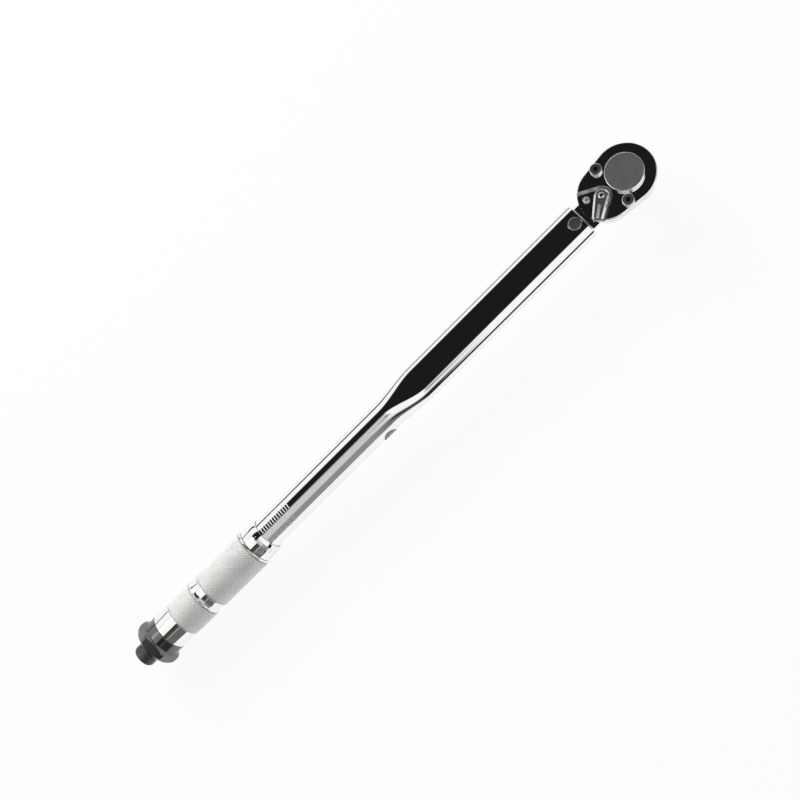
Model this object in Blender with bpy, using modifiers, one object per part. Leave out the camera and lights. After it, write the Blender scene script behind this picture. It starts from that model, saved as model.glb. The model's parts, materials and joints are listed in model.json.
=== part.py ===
"""Click-type torque wrench with a reversible 12.7 mm square-drive ratchet head.

Metres, +Z up.  The origin is the centre of the square drive's end face.  The tool lies along X:
the head's nose points to +X and the grip to -X.  Every piece is modelled in the tool frame, whose
origin is on the tube's axis above the drive, and hangs on the empty "tool_axis".
"""

import math

import bmesh
import bpy
from mathutils import Matrix, Vector

# Clearances
RUN_GAP = 0.0003            # between pieces that slide or turn in each other
SEAT_GAP = 0.0002           # between pieces that rest on each other

# Square drive and ratchet gear
SQUARE_SIZE = 0.0127
SQUARE_LENGTH = 0.0145
SQUARE_CHAMFER = 0.0008
HUB_RADIUS = 0.0100
HUB_DROP = 0.0020           # how far the hub shows below the head
GEAR_TEETH = 24
GEAR_TIP_RADIUS = 0.0136
TOOTH_DEPTH = 0.0013
TOOTH_LAND = 0.10           # half of a tooth's flat tip, as a share of the pitch
CAP_RADIUS = 0.0121
CAP_HEIGHT = 0.0035         # how far the round cap stands above the cover
CAP_CHAMFER = 0.0005
DRIVE_BALL_RADIUS = 0.0024
DRIVE_BALL_PROUD = 0.0009
DRIVE_BALL_RISE = 0.0068    # height of the ball above the square's end

# Head forging and cover
NOSE_RADIUS = 0.0196
NECK_ROUND_RADIUS = 0.0178
HEAD_CENTRE_SPACING = 0.0157
HEAD_BELOW_AXIS = 0.0085
HEAD_ABOVE_AXIS = 0.0044
HEAD_WALL_HEIGHT = 0.0024   # straight part of the side wall, below the cover
HEAD_BELLY_INSET = 0.0065   # how far the rounded belly draws in at the bottom
HEAD_FLOOR = 0.0040
COVER_THICKNESS = 0.0036
COVER_EDGE_ROUND = 0.0009
RECESS_DEPTH = 0.0026
RECESS_HALF_ANGLE = math.radians(30.5)
RECESS_WALL_RUN = 0.0014    # sideways run of the recess's sloping wall
COVER_SCREW_BACK = 0.0104
COVER_SCREW_SIDE = 0.01405
COVER_SCREW_RADIUS = 0.0020
COVER_SCREW_LENGTH = 0.0110
SCREW_HEAD_RADIUS = 0.0038
SCREW_HEAD_HEIGHT = 0.0027
SCREW_SOCKET_RADIUS = 0.0016
SCREW_SOCKET_DEPTH = 0.0014

# Reversing lever, pawl and detents
LEVER_PIVOT_BACK = 0.0192
LEVER_SWING = math.radians(36.0)
LEVER_NOSE_RADIUS = 0.0048
LEVER_LENGTH = 0.0155
LEVER_TIP_RADIUS = 0.0019
LEVER_TIP_HALF_WIDTH = 0.0036
LEVER_THICKNESS = 0.0029
LEVER_BEVEL = 0.0013
LEVER_UNDERCUT = 0.0007     # the arm rides above the recess floor by this much more than its hub
LEVER_RIB_HEIGHT = 0.0012
LEVER_RIB_WIDTH = 0.0017
LEVER_RIB_START = 0.0062
SHAFT_BARREL_RADIUS = 0.0030
SHAFT_NECK_RADIUS = 0.0022
SHAFT_PILOT_RADIUS = 0.0019
SHAFT_PILOT_LENGTH = 0.0022
SHAFT_DOME = 0.0006
PAWL_NOSE_ANGLE = math.radians(30.0)
PAWL_NOSE_RADIUS = 0.0026
PAWL_BACK_RADIUS = 0.0052
PAWL_BACK_OFFSET = 0.0004
PAWL_ROCK = math.radians(6.0)
PAWL_SWEEP_ROOM = 0.0012    # room round the pawl in its pocket
PAWL_MESH_GAP = 0.0003      # between the pawl's noses and the gear's teeth, also while it rocks
PAWL_GROOVE_RADIUS = 0.0041  # groove inside the pawl that the plunger sweeps
PAWL_NOTCH = 0.0005         # depth of the two notches behind that groove
PAWL_PLUNGER_RADIUS = 0.0010
PAWL_PLUNGER_LENGTH = 0.0026
DETENT_REACH = 0.0096
DETENT_RADIUS = 0.0022
DETENT_PROUD = 0.0005
DETENT_LENGTH = 0.0050
DETENT_SPRING_LENGTH = 0.0040

# Tube, round at the back and pressed flat at the front
TUBE_RADIUS = 0.0111
TUBE_WALL = 0.0016
FLAT_WIDTH = 0.0264
FLAT_HEIGHT = 0.0136
FLAT_LENGTH = 0.1424
TRANSITION_LENGTH = 0.0320
ROUND_LENGTH = 0.1594
TUBE_END_CHAMFER = 0.0009
NECK_GAP = 0.0027           # between the head's back and the tube's mouth
PIVOT_SETBACK = 0.0059
PIVOT_PIN_RADIUS = 0.00445
PIVOT_PIN_PROUD = 0.0002
PLUG_RADIUS = 0.00485
PLUG_SETBACK = 0.0059
PLUG_DEPTH = 0.0021

# Tail bar and click mechanism
BAR_GAP = 0.0009            # above and below the bar inside the flat tube
NECK_SIDE_GAP = 0.0020
NECK_STRAIGHT = 0.0180      # full-width stretch of the bar round the pivot pin
BAR_BEVEL = 0.0025
TAIL_HALF_WIDTH = 0.0044
TAIL_OVERHANG = 0.0055
CALIBRATION_SCREW_RADIUS = 0.0025
CALIBRATION_NUT_FLATS = 0.0080
CALIBRATION_NUT_HEIGHT = 0.0026
BLOCK_SIZE = 0.0080
PLUNGER_LENGTH = 0.0134
SPIGOT_RADIUS = 0.0046
SPIGOT_LENGTH = 0.0080
SPRING_LENGTH = 0.0854
SPRING_WIRE_RADIUS = 0.0016
SPRING_TURNS = 11
SPRING_WALL_GAP = 0.0010

# Adjusting screw, grip and lock
SEAT_LENGTH = 0.0080
THRUST_BALL_RADIUS = 0.0040
BALL_SOCKET_DEPTH = 0.0021
SCREW_RADIUS = 0.0060
NUT_LENGTH = 0.0140
NUT_FLANGE = 0.0025
GRIP_TRAVEL = 0.0280
GRIP_STOP_GAP = 0.0033
GRIP_WALL = 0.0026
GRIP_GROOVE_DEPTH = 0.0007
GRIP_BAND_DROP = 0.0002
GRIP_EDGE = 0.0005
END_WALL = 0.0080
COUNTERBORE_DEPTH = 0.0050
PLAIN_BAND_LENGTH = 0.0125
REAR_KNURL_LENGTH = 0.0224
GROOVE_LENGTH = 0.0056
FRONT_KNURL_LENGTH = 0.0429
COLLAR_LENGTH = 0.0117
COLLAR_WALL = 0.0017
COLLAR_BEVEL = 0.0009
COLLAR_BEVEL_LENGTH = 0.0026
GRIP_PIN_RADIUS = 0.0015
CAP_RING_LENGTH = 0.0072
HEX_ACROSS_FLATS = 0.0296
HEX_CORNER_RADIUS = 0.0165
HEX_LENGTH = 0.0062
HEX_FRONT_CHAMFER = 0.0016
HEX_ROLL = math.radians(-14.0)
CAP_REAR_RADIUS = 0.0108
CAP_REAR_LENGTH = 0.0040
KNOB_RADIUS = 0.0078
KNOB_LENGTH = 0.0093
KNOB_EDGE = 0.0012
STEM_RADIUS = 0.0039
LOCK_PIN_RADIUS = 0.0019
LOCK_PIN_LENGTH = 0.0210

# Facets
ROUND_SEGMENTS = 36
INNER_SEGMENTS = 24
SMALL_SEGMENTS = 18
ARC_STEPS = 10
TRANSITION_STEPS = 8

# Levels and stations worked out from the sizes above, in the tool frame
AXIS_HEIGHT = SQUARE_LENGTH + HUB_DROP + HEAD_BELOW_AXIS
FLOOR_Z = HEAD_FLOOR - HEAD_BELOW_AXIS
COVER_LOW = HEAD_ABOVE_AXIS + SEAT_GAP
COVER_TOP = COVER_LOW + COVER_THICKNESS
RECESS_Z = COVER_TOP - RECESS_DEPTH
GEAR_LOW = FLOOR_Z + RUN_GAP
GEAR_HIGH = HEAD_ABOVE_AXIS - RUN_GAP
GEAR_ROOT_RADIUS = GEAR_TIP_RADIUS - TOOTH_DEPTH
LEVER_X = -LEVER_PIVOT_BACK
LEVER_HUB_Z = RECESS_Z + SEAT_GAP
LEVER_ARM_Z = LEVER_HUB_Z + LEVER_UNDERCUT
LEVER_TOP = LEVER_ARM_Z + LEVER_THICKNESS
HEAD_BACK_X = -HEAD_CENTRE_SPACING - NECK_ROUND_RADIUS
MOUTH_X = HEAD_BACK_X - NECK_GAP
PIVOT_X = MOUTH_X - PIVOT_SETBACK
FLAT_END_X = MOUTH_X - FLAT_LENGTH
ROUND_START_X = FLAT_END_X - TRANSITION_LENGTH
TUBE_REAR_X = ROUND_START_X - ROUND_LENGTH
PLUG_X = ROUND_START_X - PLUG_SETBACK
TUBE_BORE = TUBE_RADIUS - TUBE_WALL
BAR_HALF_HEIGHT = FLAT_HEIGHT / 2 - TUBE_WALL - BAR_GAP
NECK_HALF_WIDTH = FLAT_WIDTH / 2 - TUBE_WALL - NECK_SIDE_GAP
TAIL_X = PLUG_X - TAIL_OVERHANG
BLOCK_FRONT_X = TAIL_X - RUN_GAP
BLOCK_REAR_X = BLOCK_FRONT_X - BLOCK_SIZE
PLUNGER_FRONT_X = BLOCK_REAR_X - RUN_GAP
PLUNGER_REAR_X = PLUNGER_FRONT_X - PLUNGER_LENGTH
SPRING_FRONT_X = PLUNGER_REAR_X - RUN_GAP
SPRING_REAR_X = SPRING_FRONT_X - SPRING_LENGTH
SEAT_FRONT_X = SPRING_REAR_X - RUN_GAP
SEAT_REAR_X = SEAT_FRONT_X - SEAT_LENGTH
BALL_SOCKET_RADIUS = THRUST_BALL_RADIUS + RUN_GAP
BALL_X = SEAT_REAR_X + BALL_SOCKET_DEPTH - BALL_SOCKET_RADIUS
SCREW_FRONT_X = BALL_X - BALL_SOCKET_RADIUS + BALL_SOCKET_DEPTH
NUT_REAR_X = TUBE_REAR_X - SEAT_GAP - NUT_FLANGE
END_WALL_X = NUT_REAR_X - GRIP_TRAVEL - GRIP_STOP_GAP
END_WALL_REAR_X = END_WALL_X - END_WALL
GRIP_REAR_X = END_WALL_REAR_X - COUNTERBORE_DEPTH
BAND_FRONT_X = GRIP_REAR_X + PLAIN_BAND_LENGTH
GROOVE_REAR_X = BAND_FRONT_X + REAR_KNURL_LENGTH
GROOVE_FRONT_X = GROOVE_REAR_X + GROOVE_LENGTH
GRIP_FRONT_X = GROOVE_FRONT_X + FRONT_KNURL_LENGTH
COLLAR_REAR_X = GRIP_FRONT_X + SEAT_GAP
COLLAR_FRONT_X = COLLAR_REAR_X + COLLAR_LENGTH
GRIP_BORE = TUBE_RADIUS + RUN_GAP
GRIP_RADIUS = GRIP_BORE + GRIP_WALL
GRIP_BAND_RADIUS = GRIP_RADIUS - GRIP_BAND_DROP
COLLAR_RADIUS = GRIP_BORE + COLLAR_WALL
CAP_FRONT_X = GRIP_REAR_X - SEAT_GAP
HEX_FRONT_X = CAP_FRONT_X - CAP_RING_LENGTH
HEX_REAR_X = HEX_FRONT_X - HEX_LENGTH
CAP_REAR_X = HEX_REAR_X - CAP_REAR_LENGTH
KNOB_FRONT_X = CAP_REAR_X - SEAT_GAP
KNOB_REAR_X = KNOB_FRONT_X - KNOB_LENGTH
LOCK_PIN_BORE = LOCK_PIN_RADIUS + RUN_GAP
STEM_FRONT_X = END_WALL_REAR_X - COUNTERBORE_DEPTH / 2
LOCK_PIN_REAR_X = STEM_FRONT_X + SEAT_GAP
LOCK_PIN_FRONT_X = LOCK_PIN_REAR_X + LOCK_PIN_LENGTH

DRIVE_AXIS = Vector((0.0, 0.0, 0.0))
LEVER_AXIS = Vector((LEVER_X, 0.0, 0.0))
PIVOT_AXIS = Vector((PIVOT_X, 0.0, 0.0))


# Scene and finishes

def clear_scene():
    """Remove every object, so that the script can be run again."""
    for item in list(bpy.data.objects):
        bpy.data.objects.remove(item, do_unlink=True)


def new_collection(name):
    """Return an empty collection linked to the scene."""
    collection = bpy.data.collections.new(name)
    bpy.context.scene.collection.children.link(collection)
    return collection


def finish(name, colour, roughness, metallic=1.0):
    """Return a Principled material."""
    material = bpy.data.materials.new(name)
    material.use_nodes = True
    shader = material.node_tree.nodes["Principled BSDF"]
    shader.inputs["Base Color"].default_value = (*colour, 1.0)
    shader.inputs["Roughness"].default_value = roughness
    shader.inputs["Metallic"].default_value = metallic
    return material


clear_scene()
PARTS = new_collection("torque_wrench")
CUTTERS = new_collection("cutters")
TOOL_AXIS = bpy.data.objects.new("tool_axis", None)
TOOL_AXIS.location = (0.0, 0.0, AXIS_HEIGHT)
PARTS.objects.link(TOOL_AXIS)

CHROME = finish("polished_chrome", (0.60, 0.60, 0.61), 0.06)
SATIN = finish("satin_steel", (0.20, 0.20, 0.20), 0.35)
GRIP_CHROME = finish("knurled_chrome", (0.70, 0.70, 0.69), 0.30)
DARK_NICKEL = finish("dark_nickel", (0.10, 0.10, 0.10), 0.22)
BLACK_OXIDE = finish("black_oxide", (0.06, 0.06, 0.06), 0.45)
BARE_STEEL = finish("bare_steel", (0.45, 0.44, 0.42), 0.30)
SPRING_STEEL = finish("spring_steel", (0.30, 0.29, 0.28), 0.35)
BRASS = finish("brass", (0.72, 0.52, 0.20), 0.30)


# Mesh makers: each returns mesh data in the tool frame

def tidy_mesh(mesh):
    """Weld loose seams and turn all faces outwards."""
    work = bmesh.new()
    work.from_mesh(mesh)
    bmesh.ops.remove_doubles(work, verts=work.verts, dist=1e-7)
    bmesh.ops.recalc_face_normals(work, faces=work.faces)
    work.to_mesh(mesh)
    work.free()
    return mesh


def baked(temporary):
    """Return a temporary object's evaluated mesh and remove the object."""
    PARTS.objects.link(temporary)
    bpy.context.view_layer.update()
    graph = bpy.context.evaluated_depsgraph_get()
    mesh = bpy.data.meshes.new_from_object(temporary.evaluated_get(graph))
    bpy.data.objects.remove(temporary, do_unlink=True)
    return tidy_mesh(mesh)


def turned(profile, axis="X", segments=ROUND_SEGMENTS):
    """Turn a profile of (station, radius) points round the X or Z axis.

    A profile that starts and ends on the axis is a solid, and any other is closed into a ring.
    """
    mesh = bpy.data.meshes.new("profile")
    if axis == "X":
        points = [(station, 0.0, radius) for station, radius in profile]
    else:
        points = [(radius, 0.0, station) for station, radius in profile]
    edges = [(i, i + 1) for i in range(len(points) - 1)]
    if profile[0][1] > 0.0:
        edges.append((len(points) - 1, 0))
    mesh.from_pydata(points, edges, [])
    temporary = bpy.data.objects.new("profile", mesh)
    screw = temporary.modifiers.new("Turn", "SCREW")
    screw.axis = axis
    screw.steps = segments
    screw.render_steps = segments
    screw.use_merge_vertices = True
    screw.merge_threshold = 1e-6
    return baked(temporary)


def extruded(outline, z_low, z_high):
    """Extrude a closed flat outline of (x, y) points from one height to another."""
    curve = bpy.data.curves.new("outline", "CURVE")
    curve.dimensions = "2D"
    curve.fill_mode = "BOTH"
    curve.extrude = (z_high - z_low) / 2
    spline = curve.splines.new("POLY")
    spline.points.add(len(outline) - 1)
    for point, (x, y) in zip(spline.points, outline):
        point.co = (x, y, 0.0, 1.0)
    spline.use_cyclic_u = True
    mesh = baked(bpy.data.objects.new("outline", curve))
    mesh.transform(Matrix.Translation((0.0, 0.0, (z_low + z_high) / 2)))
    return mesh


def loft(rings, ring_shaped=False):
    """Skin a row of rings with equal point counts, capped at both ends or joined end to end."""
    work = bmesh.new()
    rows = [[work.verts.new(point) for point in ring] for ring in rings]
    pairs = list(zip(rows, rows[1:]))
    if ring_shaped:
        pairs.append((rows[-1], rows[0]))
    else:
        work.faces.new(rows[0])
        work.faces.new(rows[-1])
    for first, second in pairs:
        for i in range(len(first)):
            j = (i + 1) % len(first)
            work.faces.new((first[i], first[j], second[j], second[i]))
    mesh = bpy.data.meshes.new("loft")
    work.to_mesh(mesh)
    work.free()
    return tidy_mesh(mesh)


def rod(radius, start, end, segments=SMALL_SEGMENTS):
    """Return a round bar between two points."""
    start, end = Vector(start), Vector(end)
    run = end - start
    turn = run.to_track_quat("Z", "Y").to_matrix().to_4x4()
    work = bmesh.new()
    bmesh.ops.create_cone(work, cap_ends=True, segments=segments, radius1=radius, radius2=radius,
                          depth=run.length, matrix=Matrix.Translation((start + end) / 2) @ turn)
    mesh = bpy.data.meshes.new("rod")
    work.to_mesh(mesh)
    work.free()
    return mesh


def block(low, high):
    """Return a box between two corners."""
    low, high = Vector(low), Vector(high)
    size = high - low
    work = bmesh.new()
    place = Matrix.Translation((low + high) / 2)
    bmesh.ops.create_cube(work, size=1.0, matrix=place @ Matrix.Diagonal((*size, 1.0)))
    mesh = bpy.data.meshes.new("block")
    work.to_mesh(mesh)
    work.free()
    return mesh


def sphere(radius, centre):
    """Return a ball."""
    work = bmesh.new()
    bmesh.ops.create_uvsphere(work, u_segments=14, v_segments=8, radius=radius,
                              matrix=Matrix.Translation(centre))
    mesh = bpy.data.meshes.new("sphere")
    work.to_mesh(mesh)
    work.free()
    return mesh


def coil(start, end, mean_radius, wire_radius, turns, points_per_turn=10):
    """Return an open coil spring wound between two points, as one unbroken wire."""
    start, end = Vector(start), Vector(end)
    run = (end - start).length - 2 * wire_radius
    turn = (end - start).to_track_quat("Z", "Y").to_matrix()
    steps = turns * points_per_turn
    curve = bpy.data.curves.new("coil", "CURVE")
    curve.dimensions = "3D"
    curve.bevel_depth = wire_radius
    curve.bevel_resolution = 1
    curve.use_fill_caps = True
    spline = curve.splines.new("POLY")
    spline.points.add(steps)
    path = []
    for i, point in enumerate(spline.points):
        angle = 2 * math.pi * i / points_per_turn
        local = Vector((mean_radius * math.cos(angle), mean_radius * math.sin(angle),
                        wire_radius + run * i / steps))
        path.append(start + turn @ local)
        point.co = (*path[-1], 1.0)
    apart = points_per_turn // 2
    least = min((path[i] - path[j]).length for i in range(steps + 1) for j in range(i + apart, steps + 1))
    print(f"coil of {turns} turns: least gap to itself {1000 * (least - 2 * wire_radius):.2f} mm")
    return baked(bpy.data.objects.new("coil", curve))


# Outlines

def belt(circles):
    """Return the outline stretched round circles, given anticlockwise as (x, y, radius, steps)."""
    normals = []
    for i, (x, y, radius, _) in enumerate(circles):
        next_x, next_y, next_radius, _ = circles[(i + 1) % len(circles)]
        run = math.hypot(next_x - x, next_y - y)
        along = math.atan2(next_y - y, next_x - x)
        normals.append(along - math.acos((radius - next_radius) / run))
    outline = []
    for i, (x, y, radius, steps) in enumerate(circles):
        first = normals[i - 1]
        sweep = (normals[i] - first) % (2 * math.pi)
        for step in range(steps + 1):
            angle = first + sweep * step / steps
            outline.append((x + radius * math.cos(angle), y + radius * math.sin(angle)))
    return outline


def head_outline(inset):
    """Return the head's oval, drawn in by an inset."""
    return belt([(-HEAD_CENTRE_SPACING, 0.0, NECK_ROUND_RADIUS - inset, 2 * ARC_STEPS),
                 (0.0, 0.0, NOSE_RADIUS - inset, 2 * ARC_STEPS)])


def gear_outline(extra=0.0):
    """Return the ratchet wheel's outline, with its teeth thickened by a clearance."""
    pitch = 2 * math.pi / GEAR_TEETH
    widen = extra / GEAR_TIP_RADIUS
    tip = GEAR_TIP_RADIUS + extra
    root = GEAR_ROOT_RADIUS + extra
    tip_half = TOOTH_LAND * pitch + widen
    root_half = (0.5 - TOOTH_LAND) * pitch + widen
    outline = []
    for tooth in range(GEAR_TEETH):
        centre = tooth * pitch
        for radius, offset in ((root, -root_half), (tip, -tip_half), (tip, tip_half), (root, root_half)):
            outline.append((radius * math.cos(centre + offset), radius * math.sin(centre + offset)))
    return outline


def pawl_outline(room):
    """Return the outline of the pawl, grown by some room round it."""
    nose_x = -GEAR_TIP_RADIUS * math.cos(PAWL_NOSE_ANGLE)
    nose_y = GEAR_TIP_RADIUS * math.sin(PAWL_NOSE_ANGLE)
    return belt([(LEVER_X - PAWL_BACK_OFFSET, 0.0, PAWL_BACK_RADIUS + room, ARC_STEPS),
                 (nose_x, -nose_y, PAWL_NOSE_RADIUS + room, ARC_STEPS // 2),
                 (nose_x, nose_y, PAWL_NOSE_RADIUS + room, ARC_STEPS // 2)])


def lever_outline(inset):
    """Return the lever's outline, pointing to -X, drawn in by an inset."""
    tip_x = LEVER_X - LEVER_LENGTH + LEVER_TIP_RADIUS
    tip_y = LEVER_TIP_HALF_WIDTH - LEVER_TIP_RADIUS
    return belt([(LEVER_X, 0.0, LEVER_NOSE_RADIUS - inset, ARC_STEPS),
                 (tip_x, tip_y, LEVER_TIP_RADIUS - inset, ARC_STEPS // 3),
                 (tip_x, -tip_y, LEVER_TIP_RADIUS - inset, ARC_STEPS // 3)])


def recess_ring(wall_radius, z):
    """Return the recess's sector outline at one height: an arc round the lever with two straight walls."""
    reach = 3 * NECK_ROUND_RADIUS
    arc_end = math.pi / 2 - RECESS_HALF_ANGLE
    ring = []
    for step in range(ARC_STEPS + 1):
        angle = -arc_end + 2 * arc_end * step / ARC_STEPS
        ring.append(Vector((LEVER_X + wall_radius * math.cos(angle), wall_radius * math.sin(angle), z)))
    along = Vector((-math.cos(RECESS_HALF_ANGLE), math.sin(RECESS_HALF_ANGLE), 0.0))
    far_left = ring[-1] + reach * along
    far_right = ring[0] + reach * Vector((along.x, -along.y, 0.0))
    return ring + [far_left, far_right]


def hexagon(flats, x, y):
    """Return a hexagon by its width across flats."""
    radius = flats / math.sqrt(3.0)
    return [(x + radius * math.cos(i * math.pi / 3), y + radius * math.sin(i * math.pi / 3)) for i in range(6)]


# Placing and cutting pieces

def add_part(name, mesh, material, pivot=DRIVE_AXIS, turn=0.0):
    """Add a piece whose origin is its pivot, turned about Z there."""
    mesh.transform(Matrix.Translation(-Vector(pivot)))
    mesh.name = name
    mesh.materials.clear()
    mesh.materials.append(material)
    mesh.shade_smooth()
    mesh.set_sharp_from_angle(angle=math.radians(32.0))
    part = bpy.data.objects.new(name, mesh)
    part.location = pivot
    part.rotation_euler = (0.0, 0.0, turn)
    part.parent = TOOL_AXIS
    PARTS.objects.link(part)
    return part


def shape(part, mesh, operation="DIFFERENCE"):
    """Cut or join a mesh, given in the tool frame before the piece's own turn."""
    mesh.transform(Matrix.Translation(-part.location))
    tool = bpy.data.objects.new(f"{part.name}_{operation.lower()}_{len(part.modifiers)}", mesh)
    tool.location = part.location
    tool.rotation_euler = part.rotation_euler
    tool.parent = TOOL_AXIS
    tool.hide_render = True
    tool.display_type = "WIRE"
    CUTTERS.objects.link(tool)
    boolean = part.modifiers.new(operation.title(), "BOOLEAN")
    boolean.operation = operation
    boolean.object = tool


# Ratchet head

def build_head_body():
    """The forging: oval head with a rounded belly, flat neck and tapering tail bar in one piece."""
    wall_z = HEAD_ABOVE_AXIS - HEAD_WALL_HEIGHT
    belly_drop = wall_z + HEAD_BELOW_AXIS
    levels = [(HEAD_ABOVE_AXIS, 0.0)]
    for step in range(ARC_STEPS // 2 + 1):
        angle = step / (ARC_STEPS // 2) * math.pi / 2
        levels.append((wall_z - belly_drop * math.sin(angle), HEAD_BELLY_INSET * (1 - math.cos(angle))))
    rings = [[Vector((x, y, z)) for x, y in head_outline(inset)] for z, inset in levels]
    part = add_part("head_body", loft(rings), CHROME, PIVOT_AXIS)

    neck_front_x = -HEAD_CENTRE_SPACING
    neck_rear_x = PIVOT_X - NECK_STRAIGHT
    stations = [(neck_front_x, NECK_HALF_WIDTH), (neck_rear_x, NECK_HALF_WIDTH), (TAIL_X, TAIL_HALF_WIDTH)]
    shape(part, loft([bar_section(x, half_width) for x, half_width in stations]), "UNION")

    top = HEAD_ABOVE_AXIS + RUN_GAP
    shape(part, rod(GEAR_TIP_RADIUS + RUN_GAP, (0, 0, FLOOR_Z), (0, 0, top), ROUND_SEGMENTS))
    shape(part, rod(HUB_RADIUS + RUN_GAP, (0, 0, -HEAD_BELOW_AXIS - RUN_GAP), (0, 0, top), ROUND_SEGMENTS))
    shape(part, extruded(pawl_outline(PAWL_SWEEP_ROOM), FLOOR_Z, top))
    pilot_low = FLOOR_Z - SHAFT_PILOT_LENGTH - SEAT_GAP
    shape(part, rod(SHAFT_PILOT_RADIUS + RUN_GAP, (LEVER_X, 0, pilot_low), (LEVER_X, 0, top)))
    for side in (-1, 1):
        x, y = detent_place(side)
        low = RECESS_Z + DETENT_PROUD - DETENT_LENGTH - DETENT_SPRING_LENGTH - SEAT_GAP
        shape(part, rod(DETENT_RADIUS + RUN_GAP, (x, y, low), (x, y, top)))
        low = COVER_TOP - COVER_SCREW_LENGTH - SEAT_GAP
        x, y = -COVER_SCREW_BACK, side * COVER_SCREW_SIDE
        shape(part, rod(COVER_SCREW_RADIUS + SEAT_GAP, (x, y, low), (x, y, top)))
    beyond = FLAT_HEIGHT
    shape(part, rod(PIVOT_PIN_RADIUS + RUN_GAP, (PIVOT_X, 0, -beyond), (PIVOT_X, 0, beyond), ROUND_SEGMENTS))
    shape(part, rod(CALIBRATION_SCREW_RADIUS + SEAT_GAP, (PLUG_X, -beyond, 0), (PLUG_X, beyond, 0)))


def bar_section(x, half_width):
    """Return one ring of the tail bar: a rectangle with cut corners."""
    height, bevel = BAR_HALF_HEIGHT, min(BAR_BEVEL, 0.5 * half_width)
    corners = [(half_width - bevel, -height), (half_width, bevel - height), (half_width, height - bevel),
               (half_width - bevel, height)]
    mirrored = [(-y, -z) for y, z in corners]
    return [Vector((x, y, z)) for y, z in corners + mirrored]


def bar_half_width(x):
    """Return the tail bar's half width at a station of its taper."""
    start = PIVOT_X - NECK_STRAIGHT
    share = (start - x) / (start - TAIL_X)
    return NECK_HALF_WIDTH + share * (TAIL_HALF_WIDTH - NECK_HALF_WIDTH)


def detent_place(side):
    """Return where a detent plunger stands under the lever's end position."""
    return (LEVER_X - DETENT_REACH * math.cos(LEVER_SWING), side * DETENT_REACH * math.sin(LEVER_SWING))


def build_cover():
    """The polished cover with its rounded edge and the sector recess for the lever."""
    levels = [(COVER_LOW, 0.0)]
    for step in range(4):
        angle = step / 3 * math.pi / 2
        levels.append((COVER_TOP - COVER_EDGE_ROUND * (1 - math.sin(angle)),
                       COVER_EDGE_ROUND * (1 - math.cos(angle))))
    rings = [[Vector((x, y, z)) for x, y in head_outline(inset)] for z, inset in levels]
    part = add_part("cover_plate", loft(rings), CHROME, PIVOT_AXIS)
    low, high = COVER_LOW - COVER_THICKNESS, COVER_TOP + COVER_THICKNESS
    foot = LEVER_NOSE_RADIUS + RUN_GAP
    slope = RECESS_WALL_RUN / RECESS_DEPTH
    shape(part, loft([recess_ring(foot, RECESS_Z), recess_ring(foot + slope * (high - RECESS_Z), high)]))
    shape(part, rod(CAP_RADIUS + RUN_GAP, (0, 0, low), (0, 0, high), ROUND_SEGMENTS))
    shape(part, rod(SHAFT_NECK_RADIUS + RUN_GAP, (LEVER_X, 0, low), (LEVER_X, 0, high)))
    for side in (-1, 1):
        x, y = detent_place(side)
        shape(part, rod(DETENT_RADIUS + RUN_GAP, (x, y, low), (x, y, high)))
        x, y = -COVER_SCREW_BACK, side * COVER_SCREW_SIDE
        shape(part, rod(COVER_SCREW_RADIUS + SEAT_GAP, (x, y, low), (x, y, high)))


def build_cover_screws():
    """Two socket screws that hold the cover down."""
    base = COVER_TOP + SEAT_GAP
    top = base + SCREW_HEAD_HEIGHT
    edge = SCREW_HEAD_RADIUS / 8
    profile = [(top, 0.0), (top, SCREW_HEAD_RADIUS - edge), (top - edge, SCREW_HEAD_RADIUS),
               (base, SCREW_HEAD_RADIUS), (base, COVER_SCREW_RADIUS),
               (COVER_TOP - COVER_SCREW_LENGTH, COVER_SCREW_RADIUS),
               (COVER_TOP - COVER_SCREW_LENGTH, 0.0)]
    for side, label in ((-1, "front"), (1, "rear")):
        x, y = -COVER_SCREW_BACK, side * COVER_SCREW_SIDE
        screw = turned(profile, "Z", SMALL_SEGMENTS)
        screw.transform(Matrix.Translation((x, y, 0.0)))
        part = add_part(f"cover_screw_{label}", screw, SATIN, PIVOT_AXIS)
        socket = hexagon(SCREW_SOCKET_RADIUS * math.sqrt(3.0), x, y)
        shape(part, extruded(socket, top - SCREW_SOCKET_DEPTH, top + SCREW_SOCKET_DEPTH))


def build_drive_gear():
    """The ratchet wheel with its cap, hub and square in one piece."""
    top = COVER_TOP + CAP_HEIGHT
    hub_low = -HEAD_BELOW_AXIS - HUB_DROP
    profile = [(top, 0.0), (top, CAP_RADIUS - CAP_CHAMFER), (top - CAP_CHAMFER, CAP_RADIUS),
               (GEAR_HIGH, CAP_RADIUS), (GEAR_HIGH, HUB_RADIUS), (hub_low, HUB_RADIUS), (hub_low, 0.0)]
    part = add_part("drive_gear", turned(profile, "Z"), SATIN, DRIVE_AXIS)
    shape(part, extruded(gear_outline(), GEAR_LOW, GEAR_HIGH), "UNION")
    half, end = SQUARE_SIZE / 2, -AXIS_HEIGHT
    levels = [(hub_low + HUB_DROP / 2, half), (end + SQUARE_CHAMFER, half), (end, half - SQUARE_CHAMFER)]
    square = [[Vector((sx * size, sy * size, z)) for sx, sy in ((1, -1), (1, 1), (-1, 1), (-1, -1))]
              for z, size in levels]
    shape(part, loft(square), "UNION")
    ball_z = DRIVE_BALL_RISE - AXIS_HEIGHT
    shape(part, rod(DRIVE_BALL_RADIUS + RUN_GAP, (-half / 2, 0, ball_z), (2 * half, 0, ball_z)))


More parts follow.
